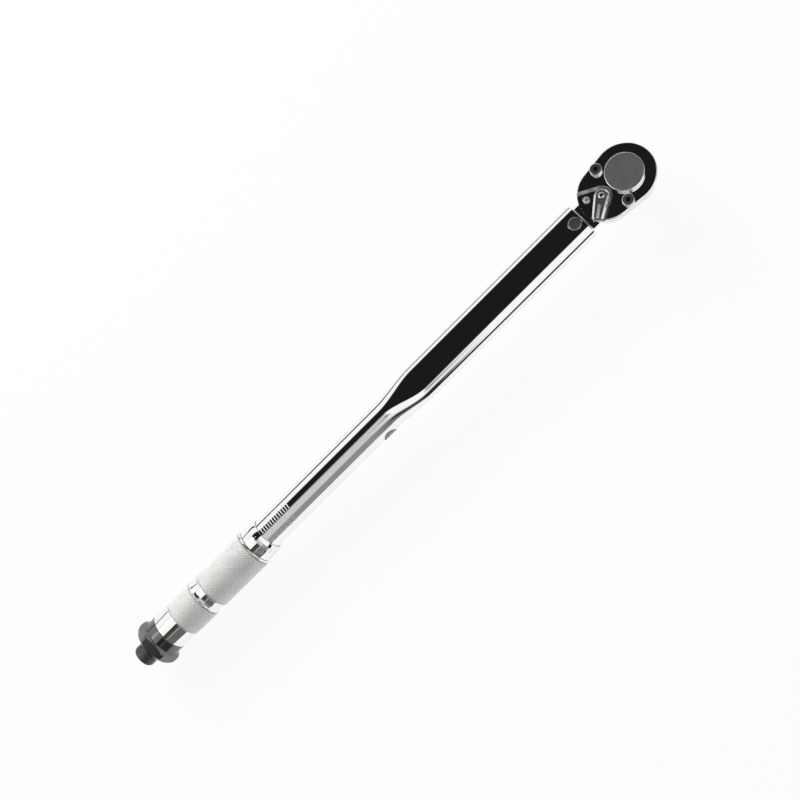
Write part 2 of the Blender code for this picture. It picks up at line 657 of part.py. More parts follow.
def build_drive_ball():
    """The ball that holds a socket on the square, with its spring."""
    half, ball_z = SQUARE_SIZE / 2, DRIVE_BALL_RISE - AXIS_HEIGHT
    centre_x = half + DRIVE_BALL_PROUD - DRIVE_BALL_RADIUS
    add_part("drive_ball", sphere(DRIVE_BALL_RADIUS, (centre_x, 0, ball_z)), BARE_STEEL, DRIVE_AXIS)
    spring_end = centre_x - DRIVE_BALL_RADIUS - SEAT_GAP
    wire = DRIVE_BALL_RADIUS / 10
    spring = coil((SEAT_GAP - half / 2, 0, ball_z), (spring_end, 0, ball_z), 0.7 * DRIVE_BALL_RADIUS, wire, 3, 8)
    add_part("drive_ball_spring", spring, SPRING_STEEL, DRIVE_AXIS)


# Reversing lever, its shaft, and the pawl

def build_lever():
    """The flip lever: a bevelled tongue with a thumb rib, on a round hub."""
    levels = [(LEVER_ARM_Z, 0.0), (LEVER_TOP - LEVER_BEVEL, 0.0), (LEVER_TOP, LEVER_BEVEL)]
    rings = [[Vector((x, y, z)) for x, y in lever_outline(inset)] for z, inset in levels]
    part = add_part("reversing_lever", loft(rings), CHROME, LEVER_AXIS, LEVER_SWING)
    hub = rod(LEVER_NOSE_RADIUS - LEVER_UNDERCUT, (LEVER_X, 0, LEVER_HUB_Z),
              (LEVER_X, 0, LEVER_ARM_Z + LEVER_THICKNESS / 2))
    shape(part, hub, "UNION")
    rib_round = LEVER_RIB_WIDTH / 2
    rib_rear_x = LEVER_X - LEVER_LENGTH + LEVER_BEVEL + rib_round
    rib_front_x = LEVER_X - LEVER_RIB_START
    rib = belt([(rib_rear_x, 0.0, rib_round, ARC_STEPS // 2), (rib_front_x, 0.0, rib_round, ARC_STEPS // 2)])
    shape(part, extruded(rib, LEVER_TOP - LEVER_BEVEL, LEVER_TOP + LEVER_RIB_HEIGHT), "UNION")
    beyond = LEVER_TOP + LEVER_THICKNESS
    shape(part, rod(SHAFT_NECK_RADIUS + SEAT_GAP, (LEVER_X, 0, FLOOR_Z), (LEVER_X, 0, beyond)))


def build_lever_shaft():
    """The stepped shaft that the lever is riveted on, with a cross bore for the pawl's plunger."""
    low = FLOOR_Z + RUN_GAP
    barrel_top = HEAD_ABOVE_AXIS - RUN_GAP
    top = LEVER_TOP + SEAT_GAP
    profile = [(top + SHAFT_DOME, 0.0), (top + SHAFT_DOME, SHAFT_NECK_RADIUS - SHAFT_DOME),
               (top, SHAFT_NECK_RADIUS), (barrel_top, SHAFT_NECK_RADIUS), (barrel_top, SHAFT_BARREL_RADIUS),
               (low, SHAFT_BARREL_RADIUS), (low, SHAFT_PILOT_RADIUS), (FLOOR_Z - SHAFT_PILOT_LENGTH, SHAFT_PILOT_RADIUS),
               (FLOOR_Z - SHAFT_PILOT_LENGTH, 0.0)]
    mesh = turned(profile, "Z", SMALL_SEGMENTS)
    mesh.transform(Matrix.Translation(LEVER_AXIS))
    part = add_part("lever_shaft", mesh, BARE_STEEL, LEVER_AXIS, LEVER_SWING)
    inner_x = LEVER_X + SHAFT_BARREL_RADIUS / 2
    shape(part, rod(PAWL_PLUNGER_RADIUS + SEAT_GAP, (inner_x, 0, 0), (LEVER_X - 2 * SHAFT_BARREL_RADIUS, 0, 0)))


def build_pawl():
    """The rocking pawl, its noses cut by the gear's own outline, with its plunger and spring."""
    low, high = FLOOR_Z + RUN_GAP, HEAD_ABOVE_AXIS - RUN_GAP
    part = add_part("pawl", extruded(pawl_outline(0.0), low, high), BARE_STEEL, LEVER_AXIS, PAWL_ROCK)
    below, above = 2 * low, 2 * high
    for rock in (-PAWL_ROCK, PAWL_ROCK):
        teeth = extruded(gear_outline(PAWL_MESH_GAP), below, above)
        about_shaft = Matrix.Translation(LEVER_AXIS) @ Matrix.Rotation(rock, 4, "Z")
        teeth.transform(about_shaft @ Matrix.Translation(-LEVER_AXIS))
        shape(part, teeth)
    shape(part, rod(SHAFT_BARREL_RADIUS + RUN_GAP, (LEVER_X, 0, below), (LEVER_X, 0, above)))
    room = PAWL_PLUNGER_RADIUS + RUN_GAP
    shape(part, rod(PAWL_GROOVE_RADIUS, (LEVER_X, 0, -room), (LEVER_X, 0, room), ROUND_SEGMENTS))
    for side in (-1, 1):
        angle = math.pi + side * (LEVER_SWING - PAWL_ROCK)
        reach = PAWL_GROOVE_RADIUS + PAWL_NOTCH
        notch_end = LEVER_AXIS + reach * Vector((math.cos(angle), math.sin(angle), 0.0))
        shape(part, rod(room, LEVER_AXIS, notch_end))

    tip_x = LEVER_X - PAWL_GROOVE_RADIUS + RUN_GAP
    rear_x = tip_x + PAWL_PLUNGER_LENGTH
    round_tip = PAWL_PLUNGER_RADIUS / 2
    plunger = turned([(rear_x, 0.0), (rear_x, PAWL_PLUNGER_RADIUS), (tip_x + round_tip, PAWL_PLUNGER_RADIUS),
                      (tip_x, round_tip), (tip_x, 0.0)], "X", SMALL_SEGMENTS)
    add_part("pawl_plunger", plunger, BARE_STEEL, LEVER_AXIS, LEVER_SWING)
    wire = PAWL_PLUNGER_RADIUS / 6
    spring = coil((LEVER_X + SHAFT_BARREL_RADIUS / 2 - SEAT_GAP, 0, 0), (rear_x + SEAT_GAP, 0, 0),
                  PAWL_PLUNGER_RADIUS - 2 * wire, wire, 2, 8)
    add_part("pawl_spring", spring, SPRING_STEEL, LEVER_AXIS, LEVER_SWING)


def build_detents():
    """Two sprung plungers that hold the lever at its end positions."""
    for side, label in ((-1, "front"), (1, "rear")):
        x, y = detent_place(side)
        top = RECESS_Z + DETENT_PROUD
        dome = DETENT_RADIUS / 3
        low = top - DETENT_LENGTH
        profile = [(top, 0.0), (top - dome / 4, DETENT_RADIUS / 2), (top - dome, DETENT_RADIUS),
                   (low, DETENT_RADIUS), (low, 0.0)]
        plunger = turned(profile, "Z", SMALL_SEGMENTS)
        plunger.transform(Matrix.Translation((x, y, 0.0)))
        add_part(f"lever_detent_{label}", plunger, BARE_STEEL, (x, y, 0.0))
        wire = DETENT_RADIUS / 10
        spring = coil((x, y, low - DETENT_SPRING_LENGTH), (x, y, low - SEAT_GAP), 0.75 * DETENT_RADIUS,
                      wire, 3, 8)
        add_part(f"detent_spring_{label}", spring, SPRING_STEEL, PIVOT_AXIS)


# Tube with its pins and plug

def tube_ring(x, flatness, inset):
    """Return one ring of the tube's section, from round (0) to pressed flat (1), drawn in by an inset."""
    radius = TUBE_RADIUS - inset
    side_radius = FLAT_HEIGHT / 2 - inset
    straight = (FLAT_WIDTH - FLAT_HEIGHT) / 2
    quarter = ROUND_SEGMENTS // 4
    ring = []
    for i in range(4 * quarter):
        angle = 2 * math.pi * i / (4 * quarter)
        round_point = Vector((radius * math.cos(angle), radius * math.sin(angle)))
        side = straight if -quarter <= (i + quarter) % (4 * quarter) - quarter < quarter else -straight
        flat_point = Vector((side + side_radius * math.cos(angle), side_radius * math.sin(angle)))
        if i in (quarter, 3 * quarter):
            flat_point.x = 0.0
        point = round_point.lerp(flat_point, flatness)
        ring.append(Vector((x, point.x, point.y)))
    return ring


def build_tube():
    """The tube: round behind, pressed flat in front, with holes for the pivot pin and the plug."""
    stations = [(TUBE_REAR_X, 0.0)]
    for step in range(TRANSITION_STEPS + 1):
        share = step / TRANSITION_STEPS
        stations.append((ROUND_START_X + share * TRANSITION_LENGTH, share * share * (3 - 2 * share)))
    outer = [tube_ring(x, flatness, 0.0) for x, flatness in stations]
    outer.append(tube_ring(MOUTH_X - TUBE_END_CHAMFER, 1.0, 0.0))
    outer.append(tube_ring(MOUTH_X, 1.0, TUBE_END_CHAMFER))
    inner = [tube_ring(x, flatness, TUBE_WALL) for x, flatness in stations]
    inner.append(tube_ring(MOUTH_X, 1.0, TUBE_WALL))
    part = add_part("tube_body", loft(outer + inner[::-1], ring_shaped=True), CHROME, PIVOT_AXIS)
    shape(part, rod(PIVOT_PIN_RADIUS + SEAT_GAP, (PIVOT_X, 0, -FLAT_HEIGHT), (PIVOT_X, 0, FLAT_HEIGHT),
                    ROUND_SEGMENTS))
    shape(part, rod(PLUG_RADIUS + SEAT_GAP, (PLUG_X, -2 * TUBE_RADIUS, 0), (PLUG_X, 0, 0), ROUND_SEGMENTS))


def build_pivot_pin():
    """The riveted pin that the head swings on."""
    top = FLAT_HEIGHT / 2 + PIVOT_PIN_PROUD
    edge = 2 * PIVOT_PIN_PROUD
    rim = PIVOT_PIN_RADIUS - edge
    profile = [(top, 0.0), (top, rim), (top - edge, PIVOT_PIN_RADIUS), (edge - top, PIVOT_PIN_RADIUS),
               (-top, rim), (-top, 0.0)]
    mesh = turned(profile, "Z", INNER_SEGMENTS)
    mesh.transform(Matrix.Translation(PIVOT_AXIS))
    add_part("pivot_pin", mesh, SATIN, PIVOT_AXIS)


def build_side_plug():
    """The plug over the calibration screw, flush with the round of the tube."""
    inner = TUBE_RADIUS - PLUG_DEPTH
    mesh = rod(PLUG_RADIUS, (PLUG_X, -2 * TUBE_RADIUS, 0), (PLUG_X, -inner, 0), ROUND_SEGMENTS)
    part = add_part("side_plug", mesh, SATIN, (PLUG_X, 0.0, 0.0))
    reach = 2 * PLUG_RADIUS
    round_tube = rod(TUBE_RADIUS, (PLUG_X - reach, 0, 0), (PLUG_X + reach, 0, 0), 2 * ROUND_SEGMENTS)
    shape(part, round_tube, "INTERSECT")


# Click mechanism inside the tube

def build_calibration():
    """The set screw across the bar's tail, and its lock nut on the far side."""
    half = bar_half_width(PLUG_X)
    start = (PLUG_X, -half + SEAT_GAP, 0)
    tip_y = math.sqrt(TUBE_BORE ** 2 - CALIBRATION_SCREW_RADIUS ** 2) - RUN_GAP
    part = add_part("calibration_screw", rod(CALIBRATION_SCREW_RADIUS, start, (PLUG_X, tip_y, 0)), BLACK_OXIDE,
                    PIVOT_AXIS)
    socket = extruded(hexagon(CALIBRATION_SCREW_RADIUS, 0.0, 0.0), -half, half / 2 - half)
    socket.transform(Matrix.Translation((PLUG_X, 0, 0)) @ Matrix.Rotation(-math.pi / 2, 4, "X"))
    shape(part, socket)
    seat = half + 2 * SEAT_GAP
    nut = extruded(hexagon(CALIBRATION_NUT_FLATS, 0.0, 0.0), seat, seat + CALIBRATION_NUT_HEIGHT)
    nut.transform(Matrix.Translation((PLUG_X, 0, 0)) @ Matrix.Rotation(-math.pi / 2, 4, "X"))
    part = add_part("calibration_nut", nut, BARE_STEEL, PIVOT_AXIS)
    shape(part, rod(CALIBRATION_SCREW_RADIUS + SEAT_GAP, (PLUG_X, 0, 0), (PLUG_X, 2 * TUBE_RADIUS, 0)))


def build_click_train():
    """Tilt block, plunger, main spring and the seat behind it."""
    half = BLOCK_SIZE / 2
    tilt = block((BLOCK_REAR_X, -half, -half), (BLOCK_FRONT_X, half, half))
    add_part("tilt_block", tilt, BARE_STEEL, (BLOCK_REAR_X, -half, 0.0))
    slide_radius = TUBE_BORE - RUN_GAP
    edge = SPIGOT_LENGTH / 10
    spigot_x = PLUNGER_REAR_X - SPIGOT_LENGTH
    plunger = [(PLUNGER_FRONT_X, 0.0), (PLUNGER_FRONT_X, slide_radius - edge),
               (PLUNGER_FRONT_X - edge, slide_radius), (PLUNGER_REAR_X, slide_radius),
               (PLUNGER_REAR_X, SPIGOT_RADIUS), (spigot_x + edge, SPIGOT_RADIUS),
               (spigot_x, SPIGOT_RADIUS - edge), (spigot_x, 0.0)]
    add_part("thrust_plunger", turned(plunger, "X", INNER_SEGMENTS), BARE_STEEL, (PLUNGER_FRONT_X, 0.0, 0.0))

    mean_radius = TUBE_BORE - SPRING_WALL_GAP - SPRING_WIRE_RADIUS
    spring = coil((SPRING_FRONT_X, 0, 0), (SPRING_REAR_X, 0, 0), mean_radius, SPRING_WIRE_RADIUS, SPRING_TURNS)
    add_part("main_spring", spring, SPRING_STEEL, (SPRING_FRONT_X, 0.0, 0.0))

    spigot_x = SEAT_FRONT_X + SPIGOT_LENGTH
    seat = [(spigot_x, 0.0), (spigot_x, SPIGOT_RADIUS - edge), (spigot_x - edge, SPIGOT_RADIUS),
            (SEAT_FRONT_X, SPIGOT_RADIUS), (SEAT_FRONT_X, slide_radius), (SEAT_REAR_X, slide_radius),
            (SEAT_REAR_X, 0.0)]
    part = add_part("spring_seat", turned(seat, "X", INNER_SEGMENTS), BARE_STEEL, (SEAT_FRONT_X, 0.0, 0.0))
    shape(part, sphere(BALL_SOCKET_RADIUS, (BALL_X, 0, 0)))
    add_part("thrust_ball", sphere(THRUST_BALL_RADIUS, (BALL_X, 0, 0)), BARE_STEEL, (BALL_X, 0.0, 0.0))


# Grip and adjuster

def build_adjuster():
    """The spindle that the grip turns, and the threaded bush in the tube's end."""
    edge = SCREW_RADIUS / 8
    rear_x = END_WALL_REAR_X + SEAT_GAP
    profile = [(SCREW_FRONT_X, 0.0), (SCREW_FRONT_X, SCREW_RADIUS - edge), (SCREW_FRONT_X - edge, SCREW_RADIUS),
               (rear_x, SCREW_RADIUS), (rear_x, 0.0)]
    part = add_part("adjusting_screw", turned(profile, "X", INNER_SEGMENTS), BARE_STEEL, (BALL_X, 0.0, 0.0))
    shape(part, sphere(BALL_SOCKET_RADIUS, (BALL_X, 0, 0)))
    bore_end_x = LOCK_PIN_FRONT_X + SEAT_GAP
    shape(part, rod(LOCK_PIN_BORE, (rear_x - END_WALL, 0, 0), (bore_end_x, 0, 0)))
    pin_x = (END_WALL_X + END_WALL_REAR_X) / 2
    pin_top = SEAT_GAP - grip_pin_end()
    shape(part, rod(GRIP_PIN_RADIUS + SEAT_GAP, (pin_x, 0, -2 * SCREW_RADIUS), (pin_x, 0, pin_top)))

    bore = SCREW_RADIUS + RUN_GAP
    shank = TUBE_BORE - SEAT_GAP
    front_x = TUBE_REAR_X + NUT_LENGTH
    seat_x = TUBE_REAR_X - SEAT_GAP
    bush = [(front_x, bore), (front_x, shank), (seat_x, shank), (seat_x, TUBE_RADIUS), (NUT_REAR_X, TUBE_RADIUS),
            (NUT_REAR_X, bore)]
    add_part("adjusting_nut", turned(bush, "X", INNER_SEGMENTS), BRASS, (TUBE_REAR_X, 0.0, 0.0))


def grip_pin_end():
    """Return how far from the axis the grip's cross pin ends, clear of the lock pin's bore."""
    return LOCK_PIN_BORE + 4 * SEAT_GAP


def build_grip():
    """The knurled sleeve with its groove and plain band, the graduated collar and the cross pin."""
    groove = GRIP_RADIUS - GRIP_GROOVE_DEPTH
    edge = GRIP_EDGE
    screw_bore = SCREW_RADIUS + SEAT_GAP
    spigot_bore = GRIP_BORE
    profile = [(GRIP_FRONT_X, GRIP_BORE), (GRIP_FRONT_X, GRIP_RADIUS - edge), (GRIP_FRONT_X - edge, GRIP_RADIUS),
               (GROOVE_FRONT_X + edge, GRIP_RADIUS), (GROOVE_FRONT_X, groove), (GROOVE_REAR_X, groove),
               (GROOVE_REAR_X - edge, GRIP_RADIUS), (BAND_FRONT_X + edge, GRIP_RADIUS),
               (BAND_FRONT_X, GRIP_BAND_RADIUS), (GRIP_REAR_X, GRIP_BAND_RADIUS), (GRIP_REAR_X, spigot_bore),
               (END_WALL_REAR_X, spigot_bore), (END_WALL_REAR_X, screw_bore), (END_WALL_X, screw_bore),
               (END_WALL_X, GRIP_BORE)]
    part = add_part("handle_sleeve", turned(profile), GRIP_CHROME, (BALL_X, 0.0, 0.0))
    pin_x = (END_WALL_X + END_WALL_REAR_X) / 2
    shape(part, rod(GRIP_PIN_RADIUS + SEAT_GAP, (pin_x, 0, -2 * GRIP_RADIUS), (pin_x, 0, -SCREW_RADIUS / 2)))
    pin = rod(GRIP_PIN_RADIUS, (pin_x, 0, -GRIP_BAND_RADIUS + SEAT_GAP), (pin_x, 0, -grip_pin_end()))
    add_part("grip_pin", pin, BARE_STEEL, (BALL_X, 0.0, 0.0))

    bevel_x = COLLAR_FRONT_X - COLLAR_BEVEL_LENGTH
    collar = [(COLLAR_FRONT_X, GRIP_BORE), (COLLAR_FRONT_X, COLLAR_RADIUS - COLLAR_BEVEL),
              (bevel_x, COLLAR_RADIUS), (COLLAR_REAR_X, COLLAR_RADIUS), (COLLAR_REAR_X, GRIP_BORE)]
    add_part("scale_collar", turned(collar), CHROME, (BALL_X, 0.0, 0.0))


def build_end_cap():
    """The dark cap: a ring, a chamfered hexagon to hold, and a spigot in the sleeve."""
    spigot = GRIP_BORE - SEAT_GAP
    spigot_x = END_WALL_REAR_X - SEAT_GAP
    bore = STEM_RADIUS + RUN_GAP
    corner = HEX_CORNER_RADIUS
    turned_body = [(spigot_x, bore), (spigot_x, spigot), (CAP_FRONT_X, spigot), (CAP_FRONT_X, GRIP_BAND_RADIUS),
                   (HEX_FRONT_X, GRIP_BAND_RADIUS), (HEX_FRONT_X - HEX_FRONT_CHAMFER, corner),
                   (HEX_REAR_X, corner), (CAP_REAR_X, CAP_REAR_RADIUS), (CAP_REAR_X, bore)]
    part = add_part("end_cap", turned(turned_body), DARK_NICKEL, (BALL_X, 0.0, 0.0))
    flats = extruded(hexagon(HEX_ACROSS_FLATS, 0.0, 0.0), CAP_REAR_X - HEX_LENGTH, spigot_x + HEX_LENGTH)
    flats.transform(Matrix.Rotation(HEX_ROLL, 4, "X") @ Matrix.Rotation(math.pi / 2, 4, "Y"))
    shape(part, flats, "INTERSECT")


def build_lock():
    """The lock knob with its stem, and the pin that it pushes forward."""
    edge = KNOB_EDGE
    profile = [(STEM_FRONT_X, 0.0), (STEM_FRONT_X, STEM_RADIUS), (KNOB_FRONT_X, STEM_RADIUS),
               (KNOB_FRONT_X, KNOB_RADIUS - edge / 2), (KNOB_FRONT_X - edge / 2, KNOB_RADIUS),
               (KNOB_REAR_X + edge, KNOB_RADIUS), (KNOB_REAR_X + edge / 4, KNOB_RADIUS - edge / 2),
               (KNOB_REAR_X, KNOB_RADIUS - 2 * edge), (KNOB_REAR_X, 0.0)]
    add_part("lock_knob", turned(profile, "X", INNER_SEGMENTS), BLACK_OXIDE, (KNOB_FRONT_X, 0.0, 0.0))
    tip = LOCK_PIN_RADIUS / 2
    pin = [(LOCK_PIN_FRONT_X, 0.0), (LOCK_PIN_FRONT_X, tip), (LOCK_PIN_FRONT_X - tip, LOCK_PIN_RADIUS),
           (LOCK_PIN_REAR_X, LOCK_PIN_RADIUS), (LOCK_PIN_REAR_X, 0.0)]
    add_part("lock_pin", turned(pin, "X", SMALL_SEGMENTS), BARE_STEEL, (KNOB_FRONT_X, 0.0, 0.0))


def main():
    """Build the wrench, from the head to the lock knob."""
    build_head_body()
    build_cover()
    build_cover_screws()
    build_drive_gear()
    build_drive_ball()
    build_lever()
    build_lever_shaft()
    build_pawl()
    build_detents()
    build_tube()
    build_pivot_pin()
    build_side_plug()
    build_calibration()
    build_click_train()
    build_adjuster()
    build_grip()
    build_end_cap()
    build_lock()


main()
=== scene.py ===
"""Looks of a click-type torque wrench with a reversible square-drive ratchet head.

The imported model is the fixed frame.  Each sub-assembly is a class that rebuilds its visible pieces
with smooth surfaces, knurls and engraved marks, dresses them and lets them ride on the frame's bodies.
Metres, +Z up, the tool along X with its head towards +X.
"""

from __future__ import annotations

import json
import logging
import math
from dataclasses import dataclass, field
from enum import Enum
from typing import Callable, Iterable, Sequence, Union

import bmesh
import bpy
from mathutils import Euler, Matrix, Vector

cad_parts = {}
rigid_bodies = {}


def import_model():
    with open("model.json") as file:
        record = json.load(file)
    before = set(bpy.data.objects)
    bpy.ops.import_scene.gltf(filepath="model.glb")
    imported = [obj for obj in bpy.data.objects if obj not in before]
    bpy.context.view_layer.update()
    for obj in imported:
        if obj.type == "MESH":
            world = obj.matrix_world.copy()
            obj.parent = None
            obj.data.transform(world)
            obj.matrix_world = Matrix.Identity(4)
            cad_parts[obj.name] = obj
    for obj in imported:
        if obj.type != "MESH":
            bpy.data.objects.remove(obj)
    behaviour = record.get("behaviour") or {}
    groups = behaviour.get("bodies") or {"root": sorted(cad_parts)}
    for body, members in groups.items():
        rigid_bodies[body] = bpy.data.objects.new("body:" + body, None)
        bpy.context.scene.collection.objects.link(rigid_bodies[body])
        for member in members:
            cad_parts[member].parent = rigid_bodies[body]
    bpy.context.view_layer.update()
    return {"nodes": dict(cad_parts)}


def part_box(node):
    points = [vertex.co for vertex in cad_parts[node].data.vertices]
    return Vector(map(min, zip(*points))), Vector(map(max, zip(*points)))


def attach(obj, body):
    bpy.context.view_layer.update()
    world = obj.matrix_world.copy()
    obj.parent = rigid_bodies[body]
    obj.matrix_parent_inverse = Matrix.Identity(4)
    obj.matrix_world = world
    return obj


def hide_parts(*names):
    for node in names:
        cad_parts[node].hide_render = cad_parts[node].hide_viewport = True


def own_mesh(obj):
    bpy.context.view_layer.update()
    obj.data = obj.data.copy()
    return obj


LOG = logging.getLogger("torque_wrench")
AXIS_Z = 0.0250  # the tube's axis, over the ground
SKIN = 0.00002  # how far engraved marks stand off a surface
CLEAR = 0.02  # far enough for a cutter to pass through the tool
POINT = 1e-9  # a smaller radius is a point on the axis
SHARP = 33.0  # the angle, in degrees, past which an edge stays sharp
KNURL_SHARP = 20.0  # the same for a knurl's diamonds
DIGIT_SHARE = 0.70  # a digit's height as a share of the font's size
STAIN_START = 0.42  # the noise value at which a metal's stains begin
STAIN_CONTRAST = 3.0
BUMP_DEPTH = 0.0002

Colour = tuple[float, float, float]
Outline = list[tuple[float, float]]
Value = Union["Wire", float, int]
Piece = bpy.types.Object
Tree = bpy.types.GeometryNodeTree
BMesh = bmesh.types.BMesh


class Axis(Enum):
    """The axis that a turned piece goes round."""

    ALONG = "X"
    UPRIGHT = "Z"


class Grain(Enum):
    """The direction in which a metal's surface was worked."""

    POLISHED = (260.0, 260.0, 260.0)
    BRUSHED_ALONG = (30.0, 1500.0, 1500.0)
    BRUSHED_ACROSS = (1500.0, 60.0, 1500.0)
    BLASTED = (1600.0, 1600.0, 1600.0)


class Mode(Enum):
    """What a Boolean does with its tool."""

    CUT = "DIFFERENCE"
    JOIN = "UNION"
    KEEP = "INTERSECT"


# Node trees


class Wire:
    """A socket that can be used in Python expressions."""

    def __init__(self, graph: "Graph", socket: bpy.types.NodeSocket) -> None:
        """Hold a socket and the graph that it belongs to."""
        self.graph = graph
        self.socket = socket

    def _math(self, operation: str, first: Value, second: Value | None = None) -> "Wire":
        """Add a Math node.

        Args:
            operation: the node's operation.
            first: its first value or wire.
            second: its second value or wire, if it takes one.

        Returns:
            The node's result.
        """
        values: dict[int, Value] = {0: first}
        if second is not None:
            values[1] = second
        return self.graph.add("ShaderNodeMath", {"operation": operation}, values)

    def __add__(self, other: Value) -> "Wire":
        """Return the sum."""
        return self._math("ADD", self, other)

    def __radd__(self, other: Value) -> "Wire":
        """Return the sum with a number first."""
        return self._math("ADD", other, self)

    def __sub__(self, other: Value) -> "Wire":
        """Return the difference."""
        return self._math("SUBTRACT", self, other)

    def __rsub__(self, other: Value) -> "Wire":
        """Return the difference from a number."""
        return self._math("SUBTRACT", other, self)

    def __mul__(self, other: Value) -> "Wire":
        """Return the product."""
        return self._math("MULTIPLY", self, other)

    def __rmul__(self, other: Value) -> "Wire":
        """Return the product with a number first."""
        return self._math("MULTIPLY", other, self)

    def __truediv__(self, other: Value) -> "Wire":
        """Return the quotient."""
        return self._math("DIVIDE", self, other)

    def __rtruediv__(self, other: Value) -> "Wire":
        """Return the quotient of a number."""
        return self._math("DIVIDE", other, self)

    def __mod__(self, other: Value) -> "Wire":
        """Return the remainder."""
        return self._math("FLOORED_MODULO", self, other)

    def __rmod__(self, other: Value) -> "Wire":
        """Return the remainder of a number."""
        return self._math("FLOORED_MODULO", other, self)

    def floor(self) -> "Wire":
        """Return the whole part."""
        return self._math("FLOOR", self)

    def sine(self) -> "Wire":
        """Return the sine."""
        return self._math("SINE", self)

    def cosine(self) -> "Wire":
        """Return the cosine."""
        return self._math("COSINE", self)

    def angle_to(self, other: Value) -> "Wire":
        """Return the angle whose tangent is this over another value."""
        return self._math("ARCTAN2", self, other)

    def clipped(self) -> "Wire":
        """Return the value held between 0 and 1."""
        return self._math("MINIMUM", self._math("MAXIMUM", self, 0.0), 1.0)


class Graph:
    """A node tree with one method that adds nodes."""

    def __init__(self, tree: bpy.types.NodeTree) -> None:
        """Hold a tree and empty it.

        Args:
            tree: the tree.
        """
        self.tree = tree
        tree.nodes.clear()

    def node(self, kind: str, settings: dict[str, object] | None = None,
             values: dict[Union[str, int], object] | None = None) -> bpy.types.Node:
        """Add a node.

        Args:
            kind: the node's type.
            settings: its properties, set first; "stops" holds a ramp's places and colours.
            values: its sockets, each with a value or a wire.

        Returns:
            The new node.
        """
        node = self.tree.nodes.new(kind)
        for key, setting in (settings or {}).items():
            if key == "stops":
                self._fill_ramp(node.color_ramp, setting)
            else:
                setattr(node, key, setting)
        for key, value in (values or {}).items():
            socket = node.inputs[key]
            if isinstance(value, Wire):
                self.tree.links.new(value.socket, socket)
            else:
                socket.default_value = value
        return node

    def add(self, kind: str, settings: dict[str, object] | None = None,
            values: dict[Union[str, int], object] | None = None,
            output: Union[str, int] = 0) -> Wire:
        """Add a node and return one of its outputs as a wire."""
        return Wire(self, self.node(kind, settings, values).outputs[output])

    def point(self, x: Value, y: Value, z: Value) -> Wire:
        """Return a vector made of three values."""
        return self.add("ShaderNodeCombineXYZ", None, {"X": x, "Y": y, "Z": z})

    def split(self, vector: Wire) -> list[Wire]:
        """Return a vector's three values."""
        node = self.node("ShaderNodeSeparateXYZ", None, {"Vector": vector})
        return [Wire(self, socket) for socket in node.outputs]

    def blend(self, factor: Wire, first: object, second: object) -> Wire:
        """Return a colour between two colours."""
        return self.add("ShaderNodeMix", {"data_type": "RGBA"}, {"Factor": factor, 6: first, 7: second}, 2)

    @staticmethod
    def _fill_ramp(ramp: bpy.types.ColorRamp, stops: Sequence[tuple[float, Colour]]) -> None:
        """Set a ramp's stops.

        Args:
            ramp: the ramp, with its two first stops.
            stops: each stop's place and colour.
        """
        while len(ramp.elements) < len(stops):
            ramp.elements.new(1.0)
        for element, (place, colour) in zip(ramp.elements, stops):
            element.position = place
            element.color = (*colour, 1.0)


# Finishes


@dataclass(frozen=True)
class MetalFinish:
    """A metal surface: its colour, polish, grain, smudges and fine relief."""

    name: str
    colour: Colour
    roughness: float
    grain: Grain = Grain.POLISHED
    relief: float = 0.02
    smudge: float = 0.03
    stain: float = 0.05
    stain_scale: float = 90.0
    metallic: float = 1.0

    def material(self) -> bpy.types.Material:
        """Return the finish's material, made once."""
        made = bpy.data.materials.get(self.name)
        return made if made is not None else self._make()

    def _make(self) -> bpy.types.Material:
        """Build the material's nodes.

        Returns:
            The new material.
        """
        material = bpy.data.materials.new(self.name)
        material.use_nodes = True
        graph = Graph(material.node_tree)
        place = graph.add("ShaderNodeTexCoord", output="Object")
        worked = graph.add("ShaderNodeMapping", None, {"Vector": place, "Scale": self.grain.value})
        fine = graph.add("ShaderNodeTexNoise", None, {"Vector": worked, "Scale": 1.0, "Detail": 3.0})
        broad = graph.add("ShaderNodeTexNoise", None,
                          {"Vector": place, "Scale": self.stain_scale, "Detail": 4.0})
        mask = ((broad - STAIN_START) * STAIN_CONTRAST).clipped()
        dull = tuple(channel * (1.0 - 2.0 * self.stain) for channel in self.colour)
        colour = graph.blend(mask, (*self.colour, 1.0), (*dull, 1.0))
        rough = (self.roughness + self.smudge * (broad - 0.5) + self.smudge * (fine - 0.5)).clipped()
        bump = graph.add("ShaderNodeBump", None,
                         {"Strength": self.relief, "Distance": BUMP_DEPTH, "Height": fine})
        shader = graph.add("ShaderNodeBsdfPrincipled", None,
                           {"Base Color": colour, "Roughness": rough, "Metallic": self.metallic,
                            "Normal": bump})
        graph.node("ShaderNodeOutputMaterial", None, {"Surface": shader})
        return material


CHROME = MetalFinish("polished_chrome", (0.93, 0.93, 0.93), 0.035, relief=0.004, smudge=0.03,
                     stain=0.02)
BRUSHED_WALL = MetalFinish("brushed_recess_wall", (0.93, 0.92, 0.90), 0.34, Grain.BRUSHED_ALONG,
                           0.16, 0.08)
SATIN_CAP = MetalFinish("satin_gear_cap", (0.35, 0.36, 0.35), 0.42, Grain.BLASTED, 0.08, 0.06,
                        0.10, 260.0)
SATIN_STEEL = MetalFinish("satin_grey_steel", (0.25, 0.25, 0.25), 0.34, Grain.BLASTED, 0.08, 0.06,
                          0.12, 300.0)
LEVER_STEEL = MetalFinish("satin_lever_steel", (0.60, 0.60, 0.59), 0.26, Grain.BRUSHED_ALONG, 0.10,
                          0.08, 0.08)
BRIGHT_STEEL = MetalFinish("bright_steel", (0.82, 0.81, 0.79), 0.16, Grain.POLISHED, 0.02, 0.05,
                           0.05)
